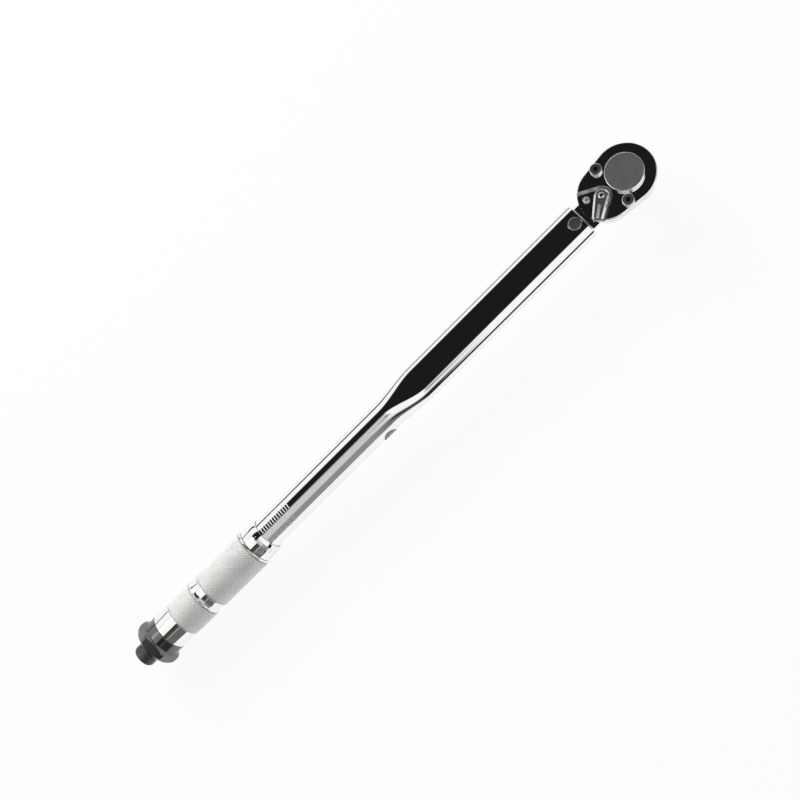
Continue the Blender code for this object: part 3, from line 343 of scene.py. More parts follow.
KNURL_CHROME = MetalFinish("satin_knurl_chrome", (0.97, 0.97, 0.96), 0.34, Grain.BLASTED, 0.03,
                           0.06, 0.02, 90.0, 0.3)
# painted shade: the knurl's groove floor is a darker grey than the diamonds, standing in for the shade
# between them
KNURL_GROOVE_SHADE = MetalFinish("knurl_groove_painted_shade", (0.52, 0.52, 0.50), 0.45, Grain.BLASTED, 0.05,
                           0.06, 0.10, 90.0, 0.5)
GUNMETAL = MetalFinish("gloss_gunmetal", (0.17, 0.17, 0.172), 0.15, Grain.BRUSHED_ACROSS, 0.02,
                       0.05, 0.10, 200.0)
BLACKENED = MetalFinish("blackened_steel", (0.07, 0.07, 0.07), 0.40, Grain.BLASTED, 0.10, 0.10,
                        0.15)
WORN_BLACK = MetalFinish("worn_black_knurl", (0.26, 0.26, 0.26), 0.36, Grain.BLASTED, 0.08, 0.10,
                         0.15, 300.0)
SOCKET_BLACK = MetalFinish("blackened_socket", (0.03, 0.03, 0.03), 0.55, Grain.BLASTED, 0.05, 0.05,
                           0.10)
DOME_STEEL = MetalFinish("worn_detent_steel", (0.88, 0.84, 0.78), 0.36, Grain.BLASTED, 0.05, 0.08,
                         0.25, 420.0)
INKED = MetalFinish("inked_marks", (0.035, 0.035, 0.035), 0.55, Grain.BLASTED, 0.03, 0.05, 0.10,
                    90.0, 0.0)
ETCHED = MetalFinish("etched_pale_marks", (0.62, 0.62, 0.60), 0.60, Grain.BLASTED, 0.03, 0.05,
                     0.06, 90.0, 0.2)
BARE_STEEL = MetalFinish("bare_machined_steel", (0.52, 0.51, 0.49), 0.30, Grain.BRUSHED_ACROSS,
                         0.06, 0.06, 0.08)
SPRING_WIRE = MetalFinish("oiled_spring_wire", (0.30, 0.29, 0.28), 0.34, Grain.BRUSHED_ALONG, 0.05,
                          0.08, 0.10)
BRASS = MetalFinish("machined_brass", (0.74, 0.53, 0.22), 0.28, Grain.BRUSHED_ACROSS, 0.06, 0.06,
                    0.08)


# Meshes


def station(x: float, y: float, z: float) -> Vector:
    """Return a point given from the tube's axis."""
    return Vector((x, y, AXIS_Z + z))


def lofted(rings: Sequence[Sequence[Vector]], endless: bool = False) -> BMesh:
    """Skin rings that have equal point counts.

    Args:
        rings: the rings in order.
        endless: True joins the last ring to the first, False caps both ends.

    Returns:
        The closed skin, facing outwards.
    """
    work = bmesh.new()
    rows = [[work.verts.new(point) for point in ring] for ring in rings]
    pairs = list(zip(rows, rows[1:]))
    if endless:
        pairs.append((rows[-1], rows[0]))
    else:
        work.faces.new(rows[0])
        work.faces.new(rows[-1])
    for first, second in pairs:
        for i in range(len(first)):
            j = (i + 1) % len(first)
            work.faces.new((first[i], first[j], second[j], second[i]))
    bmesh.ops.recalc_face_normals(work, faces=work.faces)
    return work


def quarter(steps: int) -> list[tuple[float, float]]:
    """Return the sines and cosines of a quarter turn in equal steps."""
    angles = [step / steps * math.pi / 2 for step in range(steps + 1)]
    return [(math.sin(angle), math.cos(angle)) for angle in angles]


def filleted(corners: Sequence[tuple[float, float, float]], steps: int = 4) -> Outline:
    """Round a profile's corners.

    Args:
        corners: each corner's station, radius and rounding, with 0 for a sharp one.
        steps: the facets of each rounding.

    Returns:
        The profile's stations and radii.
    """
    rounded: Outline = []
    for i, (place, radius, rounding) in enumerate(corners):
        here = Vector((place, radius))
        if rounding <= 0.0 or i in (0, len(corners) - 1):
            rounded.append((place, radius))
            continue
        before = (Vector(corners[i - 1][:2]) - here).normalized()
        after = (Vector(corners[i + 1][:2]) - here).normalized()
        half = before.angle(after) / 2
        reach = rounding / math.tan(half)
        centre = here + (before + after).normalized() * rounding / math.sin(half)
        start = here + before * reach - centre
        end = here + after * reach - centre
        sweep = start.angle_signed(end)
        for step in range(steps + 1):
            turn = -sweep * step / steps
            point = centre + Matrix.Rotation(turn, 2) @ start
            rounded.append((point.x, point.y))
    return rounded


def spun(profile: Sequence[tuple[float, float]], axis: Axis = Axis.ALONG, segments: int = 128,
         centre: tuple[float, float] = (0.0, 0.0)) -> BMesh:
    """Turn a profile.

    Args:
        profile: stations and radii; one that starts and ends on the axis makes a solid, others a ring.
        axis: the axis to turn round.
        segments: the facets round the axis.
        centre: the x and y of an upright axis.

    Returns:
        The closed skin, facing outwards.
    """
    work = bmesh.new()
    rows: list[list[bmesh.types.BMVert]] = []
    for place, radius in profile:
        count = segments if radius > POINT else 1
        row = []
        for i in range(count):
            angle = 2 * math.pi * i / segments
            u, v = radius * math.cos(angle), radius * math.sin(angle)
            if axis is Axis.ALONG:
                row.append(work.verts.new(station(place, u, v)))
            else:
                row.append(work.verts.new(station(centre[0] + u, centre[1] + v, place)))
        rows.append(row)
    pairs = list(zip(rows, rows[1:]))
    if profile[0][1] > POINT:
        pairs.append((rows[-1], rows[0]))
    for first, second in pairs:
        for i in range(segments):
            j = (i + 1) % segments
            if len(first) == 1:
                work.faces.new((first[0], second[j], second[i]))
            elif len(second) == 1:
                work.faces.new((first[i], first[j], second[0]))
            else:
                work.faces.new((first[i], first[j], second[j], second[i]))
    bmesh.ops.recalc_face_normals(work, faces=work.faces)
    return work


def belt(circles: Sequence[tuple[float, float, float, int]]) -> Outline:
    """Return the outline stretched round circles.

    Args:
        circles: each circle's x, y, radius and steps, anticlockwise.

    Returns:
        The outline's points.
    """
    normals = []
    for i, (x, y, radius, _) in enumerate(circles):
        next_x, next_y, next_radius, _ = circles[(i + 1) % len(circles)]
        run = math.hypot(next_x - x, next_y - y)
        normals.append(math.atan2(next_y - y, next_x - x) - math.acos((radius - next_radius) / run))
    outline = []
    for i, (x, y, radius, steps) in enumerate(circles):
        sweep = (normals[i] - normals[i - 1]) % (2 * math.pi)
        for step in range(steps + 1):
            angle = normals[i - 1] + sweep * step / steps
            outline.append((x + radius * math.cos(angle), y + radius * math.sin(angle)))
    return outline


def layered(outline: Callable[[float], Outline],
            levels: Iterable[tuple[float, float]]) -> BMesh:
    """Stack an outline at several heights.

    Args:
        outline: gives the outline for an inset.
        levels: each level's height and inset.

    Returns:
        The closed skin.
    """
    return lofted([[station(x, y, z) for x, y in outline(inset)] for z, inset in levels])


def rod(radius: float, start: Vector, end: Vector, segments: int = 64) -> BMesh:
    """Make a round bar between two points.

    Args:
        radius: the bar's radius.
        start: the middle of its first end.
        end: the middle of its other end.
        segments: the facets round it.

    Returns:
        The closed skin.
    """
    run = end - start
    turn = run.to_track_quat("Z", "Y").to_matrix().to_4x4()
    work = bmesh.new()
    bmesh.ops.create_cone(work, cap_ends=True, segments=segments, radius1=radius, radius2=radius,
                          depth=run.length, matrix=Matrix.Translation((start + end) / 2) @ turn)
    return work


def upright_rod(radius: float, x: float, y: float, low: float, high: float,
                segments: int = 64) -> BMesh:
    """Return an upright round bar between two heights."""
    return rod(radius, station(x, y, low), station(x, y, high), segments)


def placed(name: str, work: BMesh, *finishes: MetalFinish) -> Piece:
    """Turn a working mesh into an object at the origin.

    Args:
        name: the piece's name.
        work: the mesh, which is freed.
        finishes: its finishes, in slot order.

    Returns:
        The new object.
    """
    mesh = bpy.data.meshes.new(name)
    work.to_mesh(mesh)
    work.free()
    for finish in finishes:
        mesh.materials.append(finish.material())
    piece = bpy.data.objects.new(name, mesh)
    bpy.context.scene.collection.objects.link(piece)
    return piece


def baked(piece: Piece) -> Piece:
    """Apply a piece's modifiers.

    Args:
        piece: the object.

    Returns:
        The same object with a plain mesh.
    """
    bpy.context.view_layer.update()
    graph = bpy.context.evaluated_depsgraph_get()
    mesh = bpy.data.meshes.new_from_object(piece.evaluated_get(graph))
    piece.modifiers.clear()
    old = piece.data
    piece.data = mesh
    bpy.data.meshes.remove(old)
    mesh.name = piece.name
    return piece


def settled(piece: Piece, sharp: float = SHARP) -> Piece:
    """Apply a piece's modifiers and smooth its shading.

    Args:
        piece: the object.
        sharp: the angle, in degrees, past which an edge stays sharp.

    Returns:
        The same object with a plain mesh.
    """
    baked(piece)
    piece.data.shade_smooth()
    piece.data.set_sharp_from_angle(angle=math.radians(sharp))
    return piece


def carved(piece: Piece, mode: Mode, *tools: BMesh) -> Piece:
    """Cut, join or intersect a piece with tool meshes, one after another.

    Args:
        piece: the object.
        mode: what the tools do.
        tools: the tool meshes, which are freed.

    Returns:
        The same object with the result as its mesh.
    """
    helpers = []
    for number, tool in enumerate(tools):
        helper = placed(f"{piece.name}_tool_{number}", tool)
        helper.data.materials.append(piece.data.materials[0])
        boolean = piece.modifiers.new(f"{mode.name.title()} {number}", "BOOLEAN")
        boolean.operation = mode.value
        boolean.object = helper
        helpers.append(helper)
    settled(piece)
    for helper in helpers:
        bpy.data.objects.remove(helper, do_unlink=True)
    return piece


def softened(piece: Piece, width: float, segments: int = 2, angle: float = 35.0) -> Piece:
    """Break a piece's sharp edges.

    Args:
        piece: the object.
        width: the bevel's width.
        segments: its facets.
        angle: the least angle, in degrees, of an edge that is broken.

    Returns:
        The same object with a plain mesh.
    """
    piece.data.shade_smooth()
    bevel = piece.modifiers.new("Edges", "BEVEL")
    bevel.width = width
    bevel.segments = segments
    bevel.limit_method = "ANGLE"
    bevel.angle_limit = math.radians(angle)
    bevel.use_clamp_overlap = True
    weighted = piece.modifiers.new("Flat faces first", "WEIGHTED_NORMAL")
    weighted.weight = 100
    return baked(piece)


def dress(piece: Piece, body: str, slot: str, *nodes: str) -> Piece:
    """Let a piece ride on a body and stand for CAD nodes.

    Args:
        piece: the finished object.
        body: the body that it moves with.
        slot: the record's material slot; not used.
        nodes: the CAD nodes that it stands for.

    Returns:
        The same object.
    """
    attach(piece, body)
    if nodes:
        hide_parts(*nodes)
    LOG.info("%s rides on %s, %d faces", piece.name, body, len(piece.data.polygons))
    return piece


# Geometry Nodes


@dataclass
class PatternTree:
    """A Geometry Nodes tree with named inputs, used on one piece at a time."""

    name: str
    inputs: dict[str, str] = field(default_factory=dict)

    def open(self) -> tuple[Tree, Graph, dict[str, Wire]]:
        """Make the tree and its inputs.

        Returns:
            The tree, its graph and the wires of its inputs by name.
        """
        tree = bpy.data.node_groups.new(self.name, "GeometryNodeTree")
        graph = Graph(tree)
        tree.interface.new_socket("Geometry", in_out="INPUT", socket_type="NodeSocketGeometry")
        tree.interface.new_socket("Geometry", in_out="OUTPUT", socket_type="NodeSocketGeometry")
        for label, kind in self.inputs.items():
            tree.interface.new_socket(label, in_out="INPUT", socket_type=kind)
        entry = graph.node("NodeGroupInput")
        given = {socket.name: Wire(graph, socket) for socket in entry.outputs if socket.name}
        return tree, graph, given

    @staticmethod
    def close(graph: Graph, shape: Wire, material: Wire, chosen: Value = True) -> None:
        """End the tree in real meshes with a material.

        Args:
            graph: the tree's graph.
            shape: the instances.
            material: the material.
            chosen: the faces that take it.
        """
        solid = graph.add("GeometryNodeRealizeInstances", None, {"Geometry": shape})
        coloured = graph.add("GeometryNodeSetMaterial", None,
                             {"Geometry": solid, "Selection": chosen, "Material": material})
        graph.node("NodeGroupOutput", None, {0: coloured})

    @staticmethod
    def run(piece: Piece, tree: Tree, values: dict[str, object],
            sharp: float = SHARP) -> Piece:
        """Run the tree on a piece and keep the result as its mesh.

        Args:
            piece: the object that carries the modifier.
            tree: the tree.
            values: the inputs' values by name.
            sharp: the angle, in degrees, past which an edge stays sharp.

        Returns:
            The same object with a plain mesh.
        """
        modifier = piece.modifiers.new(tree.name, "NODES")
        modifier.node_group = tree
        for item in tree.interface.items_tree:
            if item.item_type == "SOCKET" and item.in_out == "INPUT" and item.name in values:
                modifier[item.identifier] = values[item.name]
        return settled(piece, sharp)


NUMBER = "NodeSocketFloat"
COUNT = "NodeSocketInt"
MATERIAL = "NodeSocketMaterial"


def knurl_tree() -> Tree:
    """Build the tree that rows of flat-topped diamonds round the tool's axis come from.

    Returns:
        The tree.
    """
    numbers = dict.fromkeys(("Start", "Step", "Radius", "Height", "Axis Height"), NUMBER)
    pattern = PatternTree("diamond_knurl", {"Rows": COUNT, "Around": COUNT, **numbers, "Material": MATERIAL})
    tree, graph, given = pattern.open()
    total = given["Rows"] * given["Around"]
    points = graph.add("GeometryNodePoints", None, {"Count": total})
    index = graph.add("GeometryNodeInputIndex")
    row = (index / given["Around"]).floor()
    angle = (index % given["Around"] + 0.5 * (row % 2.0)) * (2 * math.pi) / given["Around"]
    inner = given["Radius"] - given["Height"]
    spot = graph.point(given["Start"] + row * given["Step"], inner * angle.sine(),
                       given["Axis Height"] + inner * angle.cosine())
    points = graph.add("GeometryNodeSetPosition", None, {"Geometry": points, "Position": spot})
    diamond = graph.add("GeometryNodeMeshCone", {"fill_type": "NGON"},
                        {"Vertices": 4, "Radius Top": 0.52, "Radius Bottom": 0.90, "Depth": 1.0})
    turn = graph.add("FunctionNodeEulerToRotation", None, {"Euler": graph.point(0.0 - angle, 0.0, 0.0)})
    size = graph.point(given["Step"], math.pi * given["Radius"] / given["Around"], given["Height"])
    studs = graph.add("GeometryNodeInstanceOnPoints", None,
                      {"Points": points, "Instance": diamond, "Rotation": turn, "Scale": size})
    PatternTree.close(graph, studs, given["Material"])
    return tree


def mark_tree() -> Tree:
    """Build the tree that rows of engraved strokes wrapped round the tool's axis come from.

    Returns:
        The tree.
    """
    numbers = dict.fromkeys(("Start", "Turn", "Step Along", "Step Turn", "Length", "Width", "Radius",
                             "Axis Height"), NUMBER)
    pattern = PatternTree("wrapped_strokes", {"Strokes": COUNT, **numbers, "Material": MATERIAL})
    tree, graph, given = pattern.open()
    first = graph.point(given["Start"], given["Turn"] * given["Radius"], 0.0)
    stride = graph.point(given["Step Along"], given["Step Turn"] * given["Radius"], 0.0)
    line = graph.add("GeometryNodeMeshLine", None,
                     {"Count": given["Strokes"], "Start Location": first, "Offset": stride})
    stroke = graph.add("GeometryNodeMeshGrid", None,
                       {"Size X": given["Length"], "Size Y": given["Width"],
                        "Vertices X": 5, "Vertices Y": 9})
    row = graph.add("GeometryNodeInstanceOnPoints", None, {"Points": line, "Instance": stroke})
    flat = graph.add("GeometryNodeRealizeInstances", None, {"Geometry": row})
    along, arc, _ = graph.split(graph.add("GeometryNodeInputPosition"))
    turn = arc / given["Radius"]
    wrapped = graph.point(along, 0.0 - given["Radius"] * turn.sine(),
                          given["Axis Height"] + given["Radius"] * turn.cosine())
    bent = graph.add("GeometryNodeSetPosition", None, {"Geometry": flat, "Position": wrapped})
    PatternTree.close(graph, bent, given["Material"])
    return tree


def copy_tree() -> Tree:
    """Build the tree that sets copies of a piece in a row and gives its first slot a material.

    Returns:
        The tree.
    """
    pattern = PatternTree("row_of_copies", {"Copies": COUNT, "First": "NodeSocketVector",
                                            "Stride": "NodeSocketVector", "Material": MATERIAL})
    tree, graph, given = pattern.open()
    line = graph.add("GeometryNodeMeshLine", None,
                     {"Count": given["Copies"], "Start Location": given["First"],
                      "Offset": given["Stride"]})
    row = graph.add("GeometryNodeInstanceOnPoints", None, {"Points": line, "Instance": given["Geometry"]})
    first_slot = 1.0 - graph.add("GeometryNodeInputMaterialIndex").clipped()
    PatternTree.close(graph, row, given["Material"], first_slot)
    return tree


def empty_piece(name: str) -> Piece:
    """Return an object with an empty mesh, for a tree to fill."""
    return placed(name, bmesh.new())


def strokes(name: str, tree: Tree, finish: MetalFinish, count: int, start: float,
            turn: float, length: float, width: float, radius: float, step_along: float = 0.0,
            step_turn: float = 0.0) -> Piece:
    """Make a row of engraved strokes.

    Args:
        name: the piece's name.
        tree: the stroke tree.
        finish: the strokes' finish.
        count: how many strokes.
        start: the first one's station.
        turn: its angle from the top towards -Y.
        length: a stroke's size along the axis.
        width: its size round the axis.
        radius: the surface's radius.
        step_along: the step along the axis.
        step_turn: the step round the axis.

    Returns:
        The piece.
    """
    values = {"Strokes": count, "Start": start, "Turn": turn, "Step Along": step_along,
              "Step Turn": step_turn, "Length": length, "Width": width, "Radius": radius + SKIN,
              "Axis Height": AXIS_Z, "Material": finish.material()}
    return PatternTree.run(empty_piece(name), tree, values)


def wrapped_number(name: str, finish: MetalFinish, text: str, x: float, turn: float, height: float,
                   radius: float) -> Piece:
    """Write a number round the axis, readable with the head up.

    Args:
        name: the piece's name.
        finish: its finish.
        text: the number.
        x: the station of its middle.
        turn: its angle from the top towards -Y.
        height: its height along the axis.
        radius: the surface's radius.

    Returns:
        The piece.
    """
    curve = bpy.data.curves.new(name, "FONT")
    curve.body = text
    curve.size = height / DIGIT_SHARE
    curve.align_x = "CENTER"
    curve.align_y = "CENTER"
    curve.resolution_u = 3
    letters = bpy.data.objects.new(name, curve)
    bpy.context.scene.collection.objects.link(letters)
    bpy.context.view_layer.update()
    graph = bpy.context.evaluated_depsgraph_get()
    mesh = bpy.data.meshes.new_from_object(letters.evaluated_get(graph))
    bpy.data.objects.remove(letters, do_unlink=True)
    mesh.materials.clear()
    mesh.materials.append(finish.material())
    outer = radius + SKIN
    for vertex in mesh.vertices:
        angle = turn + vertex.co.x / outer
        vertex.co = station(x + vertex.co.y, -outer * math.sin(angle), outer * math.cos(angle))
    piece = bpy.data.objects.new(name, mesh)
    bpy.context.scene.collection.objects.link(piece)
    return piece


def merged(name: str, pieces: Sequence[Piece]) -> Piece:
    """Join pieces of one finish into one object.

    Args:
        name: the joined piece's name.
        pieces: the pieces, which are removed.

    Returns:
        The joined piece.
    """
    work = bmesh.new()
    for piece in pieces:
        work.from_mesh(piece.data)
    material = pieces[0].data.materials[0]
    for piece in pieces:
        bpy.data.objects.remove(piece, do_unlink=True)
    joined = placed(name, work)
    joined.data.materials.append(material)
    return settled(joined)


# Sub-assemblies


@dataclass
class Tube:
    """The chromed tube with its pivot pin, side plug and engraved scale."""

    radius: float = 0.0111
    wall: float = 0.0016
    flat_width: float = 0.0264
    flat_height: float = 0.0136
    mouth_x: float = -0.0362
    flat_end_x: float = -0.1786
    round_start_x: float = -0.2106
    rear_x: float = -0.3700
    mouth_round: float = 0.0014
    pin_x: float = -0.0421
    pin_radius: float = 0.00445
    pin_proud: float = 0.0002
    plug_x: float = -0.2165
    plug_radius: float = 0.00485
    plug_depth: float = 0.0021
    seam: float = 0.0002
    scale_x: float = -0.3200
    scale_step: float = 0.0020
    scale_strokes: int = 13
    number_x: float = -0.3190
    numbers: int = 6
    line_x: float = -0.3055
    line_length: float = 0.0310

    def ring(self, x: float, flatness: float, inset: float, count: int = 144) -> list[Vector]:
        """Return one ring of the section.

        Args:
            x: the ring's station.
            flatness: 0 for round, 1 for pressed flat.
            inset: how far the ring is drawn in.
            count: its points.

        Returns:
            The ring's points.
        """
        offset = flatness * (self.flat_width - self.flat_height) / 2
        radius = (1 - flatness) * self.radius + flatness * self.flat_height / 2 - inset
        points = []
        for i in range(count):
            angle = 2 * math.pi * (i + 0.5) / count
            side = math.copysign(offset, math.cos(angle))
            points.append(station(x, side + radius * math.cos(angle), radius * math.sin(angle)))
        return points

    def shell(self) -> Piece:
        """Build the tube's wall with its rounded mouth.

        Returns:
            The piece.
        """
        stations = [(self.rear_x, 0.0), (self.rear_x / 2 + self.round_start_x / 2, 0.0)]
        steps = 32
        for step in range(steps + 1):
            share = step / steps
            x = self.round_start_x + share * (self.flat_end_x - self.round_start_x)
            stations.append((x, share * share * (3 - 2 * share)))
        stations += [(self.flat_end_x + 0.03 * k, 1.0) for k in range(1, 5)]
        rings = [self.ring(x, flatness, 0.0) for x, flatness in stations]
        for sine, cosine in quarter(5):
            rings.append(self.ring(self.mouth_x - self.mouth_round * (1 - sine), 1.0,
                                   self.mouth_round * (1 - cosine)))
        rings.append(self.ring(self.mouth_x, 1.0, self.wall))
        rings += [self.ring(x, flatness, self.wall) for x, flatness in reversed(stations)]
        piece = placed("tube_shell", lofted(rings, endless=True), CHROME)
        carved(piece, Mode.CUT,
               upright_rod(self.pin_radius + self.seam, self.pin_x, 0.0, -CLEAR, CLEAR),
               rod(self.plug_radius + self.seam, station(self.plug_x, -1.5 * CLEAR, 0.0),
                   station(self.plug_x, 0.0, 0.0)))
        return dress(piece, "tube", "chrome", "tube_body")

    def pin(self) -> Piece:
        """Build the riveted pivot pin, slightly domed at both ends.

        Returns:
            The piece.
        """
        top = self.flat_height / 2 + self.pin_proud
        half = [(top, 0.0, 0.0), (top - 0.00002, 0.8 * self.pin_radius, 0.001),
                (top - 0.0004, self.pin_radius, 0.0002), (0.0, self.pin_radius, 0.0)]
        upper = filleted(half)
        profile = upper + [(-place, radius) for place, radius in reversed(upper[:-1])]
        piece = placed("pivot_pin_rivet", spun(profile, Axis.UPRIGHT, 64, (self.pin_x, 0.0)), SATIN_STEEL)
        return dress(settled(piece), "tube", "satin_steel", "pivot_pin")

    def plug(self) -> Piece:
        """Build the plug, flush with the round of the tube.

        Returns:
            The piece.
        """
        work = rod(self.plug_radius, station(self.plug_x, -CLEAR, 0.0),
                   station(self.plug_x, self.plug_depth - self.radius, 0.0))
        piece = placed("side_plug_disc", work, SATIN_STEEL)
        reach = 2 * self.plug_radius
        carved(piece, Mode.KEEP, rod(self.radius, station(self.plug_x - reach, 0, 0),
                                     station(self.plug_x + reach, 0, 0), 144))
        return dress(softened(piece, 0.00012), "tube", "satin_steel", "side_plug")

    def scale(self, tree: Tree) -> Piece:
        """Engrave the setting scale: two rows of strokes and numbers beside a centre line.

        Args:
            tree: the stroke tree.

        Returns:
            The dark part of the scale.
        """
        row = {"count": self.scale_strokes, "start": self.scale_x, "step_along": self.scale_step,
               "radius": self.radius}
        pale = [strokes("scale_left", tree, ETCHED, turn=math.radians(-4.0), length=0.0007, width=0.0036,
                        **row)]
        dark = [strokes("scale_right", tree, INKED, turn=math.radians(27.0), length=0.0004, width=0.0020,
                        **row),
                strokes("scale_line", tree, INKED, count=2, start=self.line_x, turn=math.radians(10.5),
                        step_turn=math.radians(4.0), length=self.line_length, width=0.0002,
                        radius=self.radius)]
        columns = (("nm", 42, 28, -24.0, 0.0017), ("lb", 30, 20, 42.0, 0.0022))
        for step in range(self.numbers):
            x = self.number_x + 2 * self.scale_step * step
            for label, first, stride, side, height in columns:
                dark.append(wrapped_number(f"scale_{label}_{step}", INKED, str(first + stride * step), x,
                                           math.radians(side), height, self.radius))
        dress(merged("tube_scale_pale", pale), "tube", "black_oxide")
        return dress(merged("tube_scale_dark", dark), "tube", "black_oxide")

    def build(self, tree: Tree) -> None:
        """Build all the tube's pieces.

        Args:
            tree: the stroke tree.
        """
        self.shell()
        self.pin()
        self.plug()
        self.scale(tree)


@dataclass
class RatchetHead:
    """The forged head with its cover, screws, gear cap and square drive."""

    nose_radius: float = 0.0196
    neck_radius: float = 0.0178
    spacing: float = 0.0157
    bottom: float = -0.0085
    top: float = 0.0044
    wall_height: float = 0.0024
    belly_inset: float = 0.0065
    cover_low: float = 0.0046
    cover_top: float = 0.0082
    cover_round: float = 0.0009
    recess_z: float = 0.0056
    recess_half_angle: float = math.radians(30.5)
    recess_foot: float = 0.0051
    recess_run: float = 0.0014
    lever_x: float = -0.0192
    detent_reach: float = 0.0096
    detent_radius: float = 0.0022
    swing: float = math.radians(36.0)
    screw_back: float = 0.0104
    screw_side: float = 0.01405
    screw_head: float = 0.0038
    screw_height: float = 0.0027
    screw_shank: float = 0.0020
    cap_radius: float = 0.0121
    cap_height: float = 0.0035
    hub_radius: float = 0.0100
    hub_low: float = -0.0105
    square: float = 0.0127
    square_low: float = -0.0250
    gear_tip: float = 0.0136
    gear_teeth: int = 24
    ball_z: float = -0.0182
    ball_radius: float = 0.0024
    ball_proud: float = 0.0009
    gap: float = 0.0003
    well_floor: float = -0.0045
    pocket_radius: float = 0.0064
    pocket_back: float = 0.0004
    pivot_x: float = -0.0421
    pivot_bore: float = 0.00475
    bar_width: float = 0.0096
    bar_height: float = 0.0043
    bar_bevel: float = 0.0022
    bar_knee_x: float = -0.0601
    bar_tail_x: float = -0.2220
    bar_tail_width: float = 0.0044
    shaft_bore: float = 0.0025
    screw_bore: float = 0.0022
    screw_foot: float = -0.0028
    socket_radius: float = 0.00165
    socket_depth: float = 0.0014
    detent_foot: float = 0.0011
    gear_high: float = 0.0041
    gear_low: float = -0.0042
    gear_root: float = 0.0123
    square_high: float = -0.0095
    square_chamfer: float = 0.0008

    def outline(self, inset: float) -> Outline:
        """Return the head's oval, drawn in by an inset."""
        return belt([(-self.spacing, 0.0, self.neck_radius - inset, 64),
                     (0.0, 0.0, self.nose_radius - inset, 64)])

    def forging(self) -> Piece:
        """Build the head's body, its rounded belly, neck and tail bar.

        Returns:
            The piece.
        """
        wall_z = self.top - self.wall_height
        levels = [(self.top, 0.0015), (self.top, 0.0002), (self.top - 0.0002, 0.0)]
        for sine, cosine in quarter(16):
            levels.append((wall_z - (wall_z - self.bottom) * sine, self.belly_inset * (1 - cosine)))
        levels.append((self.bottom, self.belly_inset + 0.0006))
        piece = placed("head_forging", layered(self.outline, levels), CHROME)
        carved(piece, Mode.JOIN, self.tail_bar())
        high = self.top + 0.001
        carved(piece, Mode.CUT,
               upright_rod(self.gear_tip + self.gap, 0, 0, self.well_floor, high, 96),
               upright_rod(self.hub_radius + self.gap, 0, 0, -CLEAR, high, 96),
               upright_rod(self.pocket_radius, self.lever_x - self.pocket_back, 0, self.well_floor, high),
               upright_rod(self.pivot_bore, self.pivot_x, 0, -CLEAR, CLEAR))
        return dress(piece, "head", "chrome", "head_body")

    def bar_section(self, x: float, width: float) -> list[Vector]:
        """Return one bevelled section of the tail bar.

        Args:
            x: the section's station.
            width: half its width.

        Returns:
            The section's points.
        """
        low = self.bar_height - self.bar_bevel
        corners = [(width - self.bar_bevel, -self.bar_height), (width, -low), (width, low),
                   (width - self.bar_bevel, self.bar_height)]
        corners += [(-y, -z) for y, z in corners]
        return [station(x, y, z) for y, z in corners]

    def tail_bar(self) -> BMesh:
        """Make the neck and tail bar that run into the tube.

        Returns:
            The closed skin.
        """
        return lofted([self.bar_section(-self.spacing, self.bar_width),
                       self.bar_section(self.bar_knee_x, self.bar_width),
                       self.bar_section(self.bar_tail_x, self.bar_tail_width)])

    def recess_ring(self, radius: float, z: float) -> list[Vector]:
        """Return the recess's sector outline at one height.

        Args:
            radius: the arc's radius round the lever.
            z: the height.

        Returns:
            The outline's points.
        """
        end = math.pi / 2 - self.recess_half_angle
        ring = [station(self.lever_x + radius * math.cos(angle), radius * math.sin(angle), z)
                for angle in (-end + 2 * end * step / 32 for step in range(33))]
        reach = 0.05
        along = Vector((-math.cos(self.recess_half_angle), math.sin(self.recess_half_angle), 0.0)) * reach
        return ring + [ring[-1] + along, ring[0] + Vector((along.x, -along.y, 0.0))]

    def cover(self) -> Piece:
        """Build the polished cover with its sector recess and holes.

        Returns:
            The piece.
        """
        levels = [(self.cover_low, 0.0012), (self.cover_low, 0.0001), (self.cover_low + 0.0001, 0.0)]
        for sine, cosine in quarter(6):
            levels.append((self.cover_top - self.cover_round * (1 - sine), self.cover_round * (1 - cosine)))
        levels.append((self.cover_top, self.cover_round + 0.0002))
        piece = placed("cover_plate_polished", layered(self.outline, levels), CHROME, BRUSHED_WALL)
        low, high = 0.0, CLEAR
        slope = self.recess_run / (self.cover_top - self.recess_z)
        recess = lofted([self.recess_ring(self.recess_foot, self.recess_z),
                         self.recess_ring(self.recess_foot + slope * (high - self.recess_z), high)])
        holes = [upright_rod(self.cap_radius + 0.2 * self.gap, 0, 0, low, high, 160),
                 upright_rod(self.shaft_bore, self.lever_x, 0, low, high)]
        for side in (-1, 1):
            x, y = self.detent_place(side)
            holes.append(upright_rod(self.detent_radius + self.gap, x, y, low, high))
            holes.append(upright_rod(self.screw_bore, -self.screw_back, side * self.screw_side, low, high))
        carved(piece, Mode.CUT, recess, *holes)
        for face in piece.data.polygons:
            middle, normal = face.center, face.normal
            sloping = middle.z > AXIS_Z + self.recess_z and 0.2 < normal.z < 0.95
            near = middle.x < self.lever_x + 0.008 and abs(middle.y) < 0.016
            face.material_index = 1 if sloping and near else 0
        softened(piece, 0.00010)
        return dress(piece, "head", "chrome", "cover_plate")

    def detent_place(self, side: int) -> tuple[float, float]:
        """Return where a detent plunger stands."""
        return (self.lever_x - self.detent_reach * math.cos(self.swing),
                side * self.detent_reach * math.sin(self.swing))

    def detents(self) -> None:
        """Build the two bright plungers that hold the lever."""
        for side, label in ((-1, "front"), (1, "rear")):
            top = self.recess_z + 0.0005
            profile = filleted([(top, 0.0, 0.0), (top, self.detent_radius, self.detent_radius / 2),
                                (self.detent_foot, self.detent_radius, 0.0), (self.detent_foot, 0.0, 0.0)], 8)
            skin = spun(profile, Axis.UPRIGHT, 48, self.detent_place(side))
            piece = placed(f"lever_detent_dome_{label}", skin, DOME_STEEL)
            dress(settled(piece), f"detent_{label}", "bare_steel", f"lever_detent_{label}")

